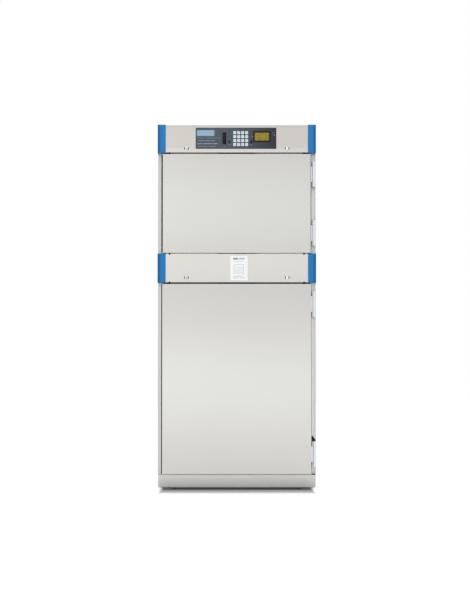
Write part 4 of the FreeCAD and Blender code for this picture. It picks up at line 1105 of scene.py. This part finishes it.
# %% [markdown]
# ## Round the hinges
#
# A short black pad stands at the door's edge beside each end knuckle of its hinges, as painted
# shade in the slot there, and swings with the door. A narrow chrome web stands between the pad and
# the knuckle, and stays with the frame. Boxes would do for both, but a bevel catches a line of
# light that a sharp edge doesn't, so they are plates like the display's glass. Those that move
# together are joined into one piece.

# %% Hinge pads and webs
KNUCKLE_END = 22.5 * MM
LEAF_HALF = 60.5 * MM
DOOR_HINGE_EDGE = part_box("upper_door_skin")[1].x
SLOT_SHADE_RIGHT = DOOR_HINGE_EDGE + 2.8 * MM
SLOT_SHADE_DEPTHS = (6.5, 13)
WEB_X = 363.0 * MM
WEB_WIDTH = 3.2 * MM
WEB_DEPTHS = (9.5, 15)
HINGE_HEIGHTS = {"lower_door": (170.0, 890.0), "upper_door": (1231.5, 1515.5)}


def end_plates(heights, x, width, radius, depths, bevel):
    """A plate beside each end knuckle of the hinges at some heights."""
    shapes = []
    for height in heights:
        for end in (-1, 1):
            middle = Vector((x, 0, height * MM + end * (LEAF_HALF - KNUCKLE_END / 2)))
            front, back = (DOOR_FACE + depth * MM for depth in depths)
            shapes.append(plate(middle, width, KNUCKLE_END, radius, front, back, bevel))
    return shapes


# Dark rubber for the frame gasket, and painted shade for the hinge slots, the plinth ledge and the
# shadow above the lower hinge.
dark_rubber_and_shade = finish("dark_rubber_and_shade", shade(26, 27, 28), 0.75, grain_depth=0.02)
webs = []
for body, heights in HINGE_HEIGHTS.items():
    x, width = (DOOR_HINGE_EDGE + SLOT_SHADE_RIGHT) / 2, SLOT_SHADE_RIGHT - DOOR_HINGE_EDGE
    slot_shades = end_plates(heights, x, width, 1.2 * MM, SLOT_SHADE_DEPTHS, 0.8 * MM)
    add_shape(body + "_hinge_slot_shade", joined(slot_shades), dark_rubber_and_shade, body, "black_rubber")
    webs += end_plates(heights, WEB_X, WEB_WIDTH, 0.8 * MM, WEB_DEPTHS, 0.5 * MM)
add_shape("knuckle_webs", joined(webs), finishes["hinge_chrome"], "cabinet", "hinge_chrome")
print("hinge pads and webs:", 2 * len(webs))

# %% [markdown]
# ## Strips, small trim and painted shade
#
# The upper door has a dark strip on its pull side, and a grey one on its hinge side that is painted
# shade along that edge. A dark gasket runs up the frame beside both doors. The plinth has no top in
# front of the case, so a sheet covers it there, and a pale sill strip lies on it under the lower
# door, as painted light in the line below the door. A small dark pad lies on the plinth and a dark
# wedge stands on the frame, both at the hinge side: the pad is painted shade on the plinth's ledge
# and the wedge is a painted shadow above the lower hinge. A strip keeps one outline along its whole
# length, so it is a loft of that outline at three places.


# %% Door edge strips
def edge_strip(left, right, ends, depths):
    """A slim upright strip with a rounded front."""
    (bottom, top), (front, back) = ends, depths
    round_off = 0.3 * MM
    outline = [(left, back), (left, front + round_off), (left + round_off, front)]
    outline += [(right - round_off, front), (right, front + round_off), (right, back)]
    return loft([[(x, y, z) for x, y in outline] for z in (bottom, (bottom + top) / 2, top)])


low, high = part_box("upper_door_skin")
ends = (low.z + 6 * MM, high.z - 6 * MM)
depths = (DOOR_FACE - 0.5 * MM, DOOR_FACE + 0.2 * MM)
pull_edge = edge_strip(low.x - 0.3 * MM, low.x + 2.4 * MM, ends, depths)
add_shape("upper_pull_edge", pull_edge, finishes["pull_plastic"], "upper_door", "pull_plastic")
# Painted shade: a grey strip along the upper door's hinge-side edge.
hinge_edge = edge_strip(high.x - 4 * MM, high.x + 0.2 * MM, ends, depths)
hinge_edge_shade_grey = finish("hinge_edge_shade_grey", shade(172, 172, 168), 0.5, 1.0, UPRIGHT, 0.003)
add_shape("upper_hinge_edge_shade", hinge_edge, hinge_edge_shade_grey, "upper_door", "steel")

GASKET_DEPTHS = (-286.5 * MM, -283.1 * MM)
strips = []
for node in ("lower_door_skin", "upper_door_skin"):
    low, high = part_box(node)
    left, right = high.x + 0.6 * MM, high.x + 3.2 * MM
    strips.append(edge_strip(left, right, (low.z, high.z), GASKET_DEPTHS))
add_shape("stile_gasket", joined(strips), dark_rubber_and_shade, "cabinet", "gasket_rubber")
print("edge strips: 4")

# %% Sill strip and plinth top
SILL = [(-327.5, -0.1), (-327.5, 1.3), (-327, 1.7), (-318.5, 1.7), (-318, 1.3), (-318, -0.1)]
PLINTH_TOP = at_mm((-328, 69.9), (-328, 70.9), (-327.8, 71.2))
PLINTH_TOP += at_mm((-283.4, 71.2), (-283.1, 70.9), (-283.1, 69.9))
SILL_HALF, COVER_HALF = 354 * MM, 375.8 * MM
base_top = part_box("base_plinth")[1].z

# Painted light: the pale strip lightens the line under the lower door.
sill = bar_along_x([(y * MM, base_top + z * MM) for y, z in SILL], SILL_HALF)
sill_light_paint = finish("sill_painted_light", shade(248, 248, 245), 0.6, grain_depth=0.01, specular=0.2)
add_shape("door_sill_strip", sill, sill_light_paint, "cabinet", "gasket_rubber")
cover = bar_along_x(PLINTH_TOP, COVER_HALF)
add_shape("plinth_top", cover, finishes["base_steel"], "cabinet", "base_steel")
print("sill strip and plinth top")

# %% Painted shade pad and wedge
WEDGE = at_mm((361, 232.5), (379, 232.5), (379, 236), (365, 256), (361, 256))
WEDGE_X, WEDGE_Z = 368 * MM, 241 * MM
stile_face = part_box("face_frame")[0].y


def wedge_layer(depth, inset):
    """The wedge's outline at a depth, drawn in towards its middle."""
    layer = []
    for x, z in WEDGE:
        keep = 1 - inset / math.hypot(x - WEDGE_X, z - WEDGE_Z)
        layer.append((WEDGE_X + (x - WEDGE_X) * keep, depth, WEDGE_Z + (z - WEDGE_Z) * keep))
    return layer


# Painted shade: a dark pad on the plinth's ledge at the hinge side.
middle = Vector((369.5 * MM, 0, base_top + 1.2 * MM))
front, back = stile_face - 36 * MM, stile_face - 1 * MM
ledge_shade = plate(middle, 16 * MM, 2.2 * MM, 0.9 * MM, front, back, 0.6 * MM)
add_shape("plinth_ledge_shade_pad", ledge_shade, dark_rubber_and_shade, "cabinet", "black_rubber")
# Painted shadow: a dark wedge on the frame above the lower hinge.
insets = ((0.2, 0), (7, 0), (8, 1))
wedge = loft([wedge_layer(stile_face - depth * MM, inset * MM) for depth, inset in insets])
add_shape("hinge_shadow_wedge", wedge, dark_rubber_and_shade, "cabinet", "black_rubber")
print("stile trim: 2")

# %% [markdown]
# ## Wire shelves
#
# Each shelf is a deck of thin wires, front to back, on a heavier frame with cross rods under it.
# That is a rule, not a shape to draw: so many wires at a pitch, on so many shelves. Geometry Nodes
# say it as a rule. A point stands for each shelf. A line of points carries one wire each, the frame
# is a rounded quadrangle swept with a circle, and the whole shelf is placed on every point. At the
# end the instances are made real.


# %% Opening, closing and running a tree
def open_tree(name, inputs):
    """A Geometry Nodes tree with named inputs: the tree, their identifiers and their sockets."""
    tree = bpy.data.node_groups.new(name, "GeometryNodeTree")
    tree.is_modifier = True
    identifiers = {}
    for label, kind in {"Places": "Geometry", **inputs}.items():
        kind = "NodeSocket" + kind
        socket = tree.interface.new_socket(name=label, in_out="INPUT", socket_type=kind)
        identifiers[label] = socket.identifier
    tree.interface.new_socket(name="Result", in_out="OUTPUT", socket_type="NodeSocketGeometry")
    return tree, identifiers, tree.nodes.new("NodeGroupInput").outputs


def close_tree(tree, geometry, material):
    """End a tree: real geometry, one material."""
    real = step(tree, "GeometryNodeRealizeInstances", {"Geometry": geometry}).outputs[0]
    wires = {"Geometry": real, "Material": material}
    dressed = step(tree, "GeometryNodeSetMaterial", wires).outputs[0]
    step(tree, "NodeGroupOutput", {0: dressed})


def grow(name, tree, identifiers, points, choices):
    """Run a tree on points and return the plain mesh that it makes."""
    holder = put(name + "_seed", plain_mesh(name, points, []))
    modifier = holder.modifiers.new("grow", "NODES")
    modifier.node_group = tree
    for label, choice in choices.items():
        modifier[identifiers[label]] = choice
    holder.update_tag()
    layers = bpy.context.evaluated_depsgraph_get()
    mesh = bpy.data.meshes.new_from_object(holder.evaluated_get(layers))
    holder.modifiers.remove(modifier)
    bpy.data.objects.remove(holder)
    return mesh


# %% Rods and rows
def times(tree, value, factor):
    return reckon(tree, "MULTIPLY", value, factor)


def vector_of(tree, x, y, z):
    return step(tree, "ShaderNodeCombineXYZ", {"X": x, "Y": y, "Z": z}).outputs[0]


def swept(tree, curve, radius, resolution):
    """A round rod along a curve."""
    wires = {"Resolution": resolution, "Radius": radius}
    profile = step(tree, "GeometryNodeCurvePrimitiveCircle", wires, mode="RADIUS")
    wires = {"Curve": curve, "Profile Curve": profile.outputs["Curve"], "Fill Caps": True}
    return step(tree, "GeometryNodeCurveToMesh", wires).outputs[0]


def rod_between(tree, start, end, radius, resolution):
    """A straight round rod."""
    line = step(tree, "GeometryNodeCurvePrimitiveLine", {"Start": start, "End": end})
    return swept(tree, line.outputs[0], radius, resolution)


def copies_on(tree, points, shape, **more):
    """A shape at every point."""
    wires = {"Points": points, "Instance": shape, **more}
    return step(tree, "GeometryNodeInstanceOnPoints", wires).outputs[0]


def row_of(tree, count, pitch, along, rod):
    """A row of rods, centred, that steps along X or along Y."""
    first = times(tree, times(tree, reckon(tree, "SUBTRACT", count, 1.0), pitch), -0.5)
    if along == "X":
        start, offset = vector_of(tree, first, 0.0, 0.0), vector_of(tree, pitch, 0.0, 0.0)
    else:
        start, offset = vector_of(tree, 0.0, first, 0.0), vector_of(tree, 0.0, pitch, 0.0)
    wires = {"Count": count, "Start Location": start, "Offset": offset}
    line = step(tree, "GeometryNodeMeshLine", wires, mode="OFFSET")
    return copies_on(tree, line.outputs[0], rod)


# %% The shelf tree
FRAME_LIFT = 5.6 * MM
sizes = ("Width", "Depth", "Pitch", "Wire Radius", "Frame Radius", "Rod Pitch")
kinds = {**dict.fromkeys(sizes, "Float"), "Wires": "Int", "Rods": "Int", "Finish": "Material"}
tree, shelf_inputs, given = open_tree("wire_shelf", kinds)
thin, thick = given["Wire Radius"], given["Frame Radius"]

height = reckon(tree, "ADD", thick, thin)
start = vector_of(tree, 0.0, times(tree, given["Depth"], -0.5), height)
end = vector_of(tree, 0.0, times(tree, given["Depth"], 0.5), height)
wire = rod_between(tree, start, end, thin, 8)
start = vector_of(tree, times(tree, given["Width"], -0.5), 0.0, 0.0)
end = vector_of(tree, times(tree, given["Width"], 0.5), 0.0, 0.0)
rod = rod_between(tree, start, end, thick, 10)
deck = row_of(tree, given["Wires"], given["Pitch"], "X", wire)
rods = row_of(tree, given["Rods"], given["Rod Pitch"], "Y", rod)

wires = {"Width": given["Width"], "Height": given["Depth"]}
rim = step(tree, "GeometryNodeCurvePrimitiveQuadrilateral", wires).outputs[0]
wires = {"Curve": rim, "Radius": 10 * MM, "Limit Radius": True, "Count": 5}
corners = step(tree, "GeometryNodeFilletCurve", wires, mode="POLY").outputs[0]
lower_rim = swept(tree, corners, thick, 10)
wires = {"Geometry": lower_rim, "Translation": vector_of(tree, 0.0, 0.0, FRAME_LIFT)}
upper_rim = step(tree, "GeometryNodeTransform", wires).outputs[0]
shelf = step(tree, "GeometryNodeJoinGeometry")
for part in (deck, rods, lower_rim, upper_rim):
    tree.links.new(part, shelf.inputs[0])
close_tree(tree, copies_on(tree, given["Places"], shelf.outputs[0]), given["Finish"])
print("shelf tree:", len(tree.nodes), "nodes")

# %% Grow the shelves
FRAME_RADIUS = 3.1 * MM
SHELF_HEIGHTS = (387.67, 672.33, 1373.5)

low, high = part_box("wire_shelves")
spot = ((low.x + high.x) / 2, (low.y + high.y) / 2)
points = [(*spot, height * MM + FRAME_RADIUS) for height in SHELF_HEIGHTS]
chrome = finishes["wire_chrome"]
choices = {
    "Width": (high.x - low.x) - 2 * FRAME_RADIUS,
    "Depth": (high.y - low.y) - 2 * FRAME_RADIUS,
    "Wires": 25,
    "Pitch": 25.4 * MM,
    "Wire Radius": 1.7 * MM,
    "Frame Radius": FRAME_RADIUS,
    "Rods": 4,
    "Rod Pitch": 110 * MM,
    "Finish": chrome,
}
shelves = grow("shelf_wires", tree, shelf_inputs, points, choices)
shelves.shade_smooth()
shelves.set_sharp_from_angle(angle=math.radians(40))
add_piece("shelf_wires", shelves, chrome, "cabinet", "wire_chrome", "wire_shelves")
print("shelf wires:", len(shelves.polygons), "faces")

# %% [markdown]
# ## Screws
#
# The back panel and the hinge leaves are held by pan-head screws with a cross recess. One node
# tree makes the head, cuts the recess and copies it to every point. A direction turns the heads to
# face the way their sheet faces.

# %% The screw tree
kinds = {"Radius": "Float", "Height": "Float", "Facing": "Vector", "Finish": "Material"}
tree, screw_inputs, given = open_tree("cross_screw", kinds)
wires = {
    "Vertices": 18,
    "Side Segments": 1,
    "Fill Segments": 1,
    "Radius Top": times(tree, given["Radius"], 0.66),
    "Radius Bottom": given["Radius"],
    "Depth": given["Height"],
}
head = step(tree, "GeometryNodeMeshCone", wires, fill_type="NGON").outputs[0]
long_side = times(tree, given["Radius"], 1.1)
short_side = times(tree, given["Radius"], 0.26)
cuts = step(tree, "GeometryNodeMeshBoolean", {"Mesh 1": head}, operation="DIFFERENCE")
for across, up in ((long_side, short_side), (short_side, long_side)):
    size = vector_of(tree, across, up, times(tree, given["Height"], 1.2))
    block = step(tree, "GeometryNodeMeshCube", {"Size": size}).outputs[0]
    wires = {"Geometry": block, "Translation": vector_of(tree, 0.0, 0.0, given["Height"])}
    lifted = step(tree, "GeometryNodeTransform", wires).outputs[0]
    tree.links.new(lifted, cuts.inputs[1])
wires = {"Vector": given["Facing"]}
turned = step(tree, "FunctionNodeAlignRotationToVector", wires, axis="Z").outputs[0]
placed = copies_on(tree, given["Places"], cuts.outputs[0], Rotation=turned)
close_tree(tree, placed, given["Finish"])
print("screw tree:", len(tree.nodes), "nodes")

# %% Grow the screws
BACK_FACE = 330.5 * MM
LEAF_FACE = DOOR_HINGE_EDGE + 2.5 * MM
LEAF_HOLES = ((22, -48), (34, -30), (22, 0), (34, 30), (22, 48))


def add_screws(name, points, facing, radius, height, body):
    """Screws on a sheet, as one piece that moves with a body."""
    plated = finishes["foot_steel"]
    choices = {"Radius": radius, "Height": height, "Facing": facing, "Finish": plated}
    mesh = grow(name, tree, screw_inputs, points, choices)
    add_piece(name, mesh, plated, body, "foot_steel")
    return len(points)


spots = [(x * MM, BACK_FACE, z * MM) for x in (-366, 366) for z in range(110, 1741, 270)]
spots += [(x * MM, BACK_FACE, z * MM) for x in (-220, 0, 220) for z in (88, 1734)]
count = add_screws("back_screws", spots, (0, 1, 0), 4.2 * MM, 1.6 * MM, "cabinet")
for body, heights in HINGE_HEIGHTS.items():
    holes = [(y, height + z) for height in heights for y, z in LEAF_HOLES]
    spots = [(LEAF_FACE, DOOR_FACE + y * MM, z * MM) for y, z in holes]
    count += add_screws(body + "_leaf_screws", spots, (1, 0, 0), 2.8 * MM, 1.0 * MM, body)
print("screws:", count)
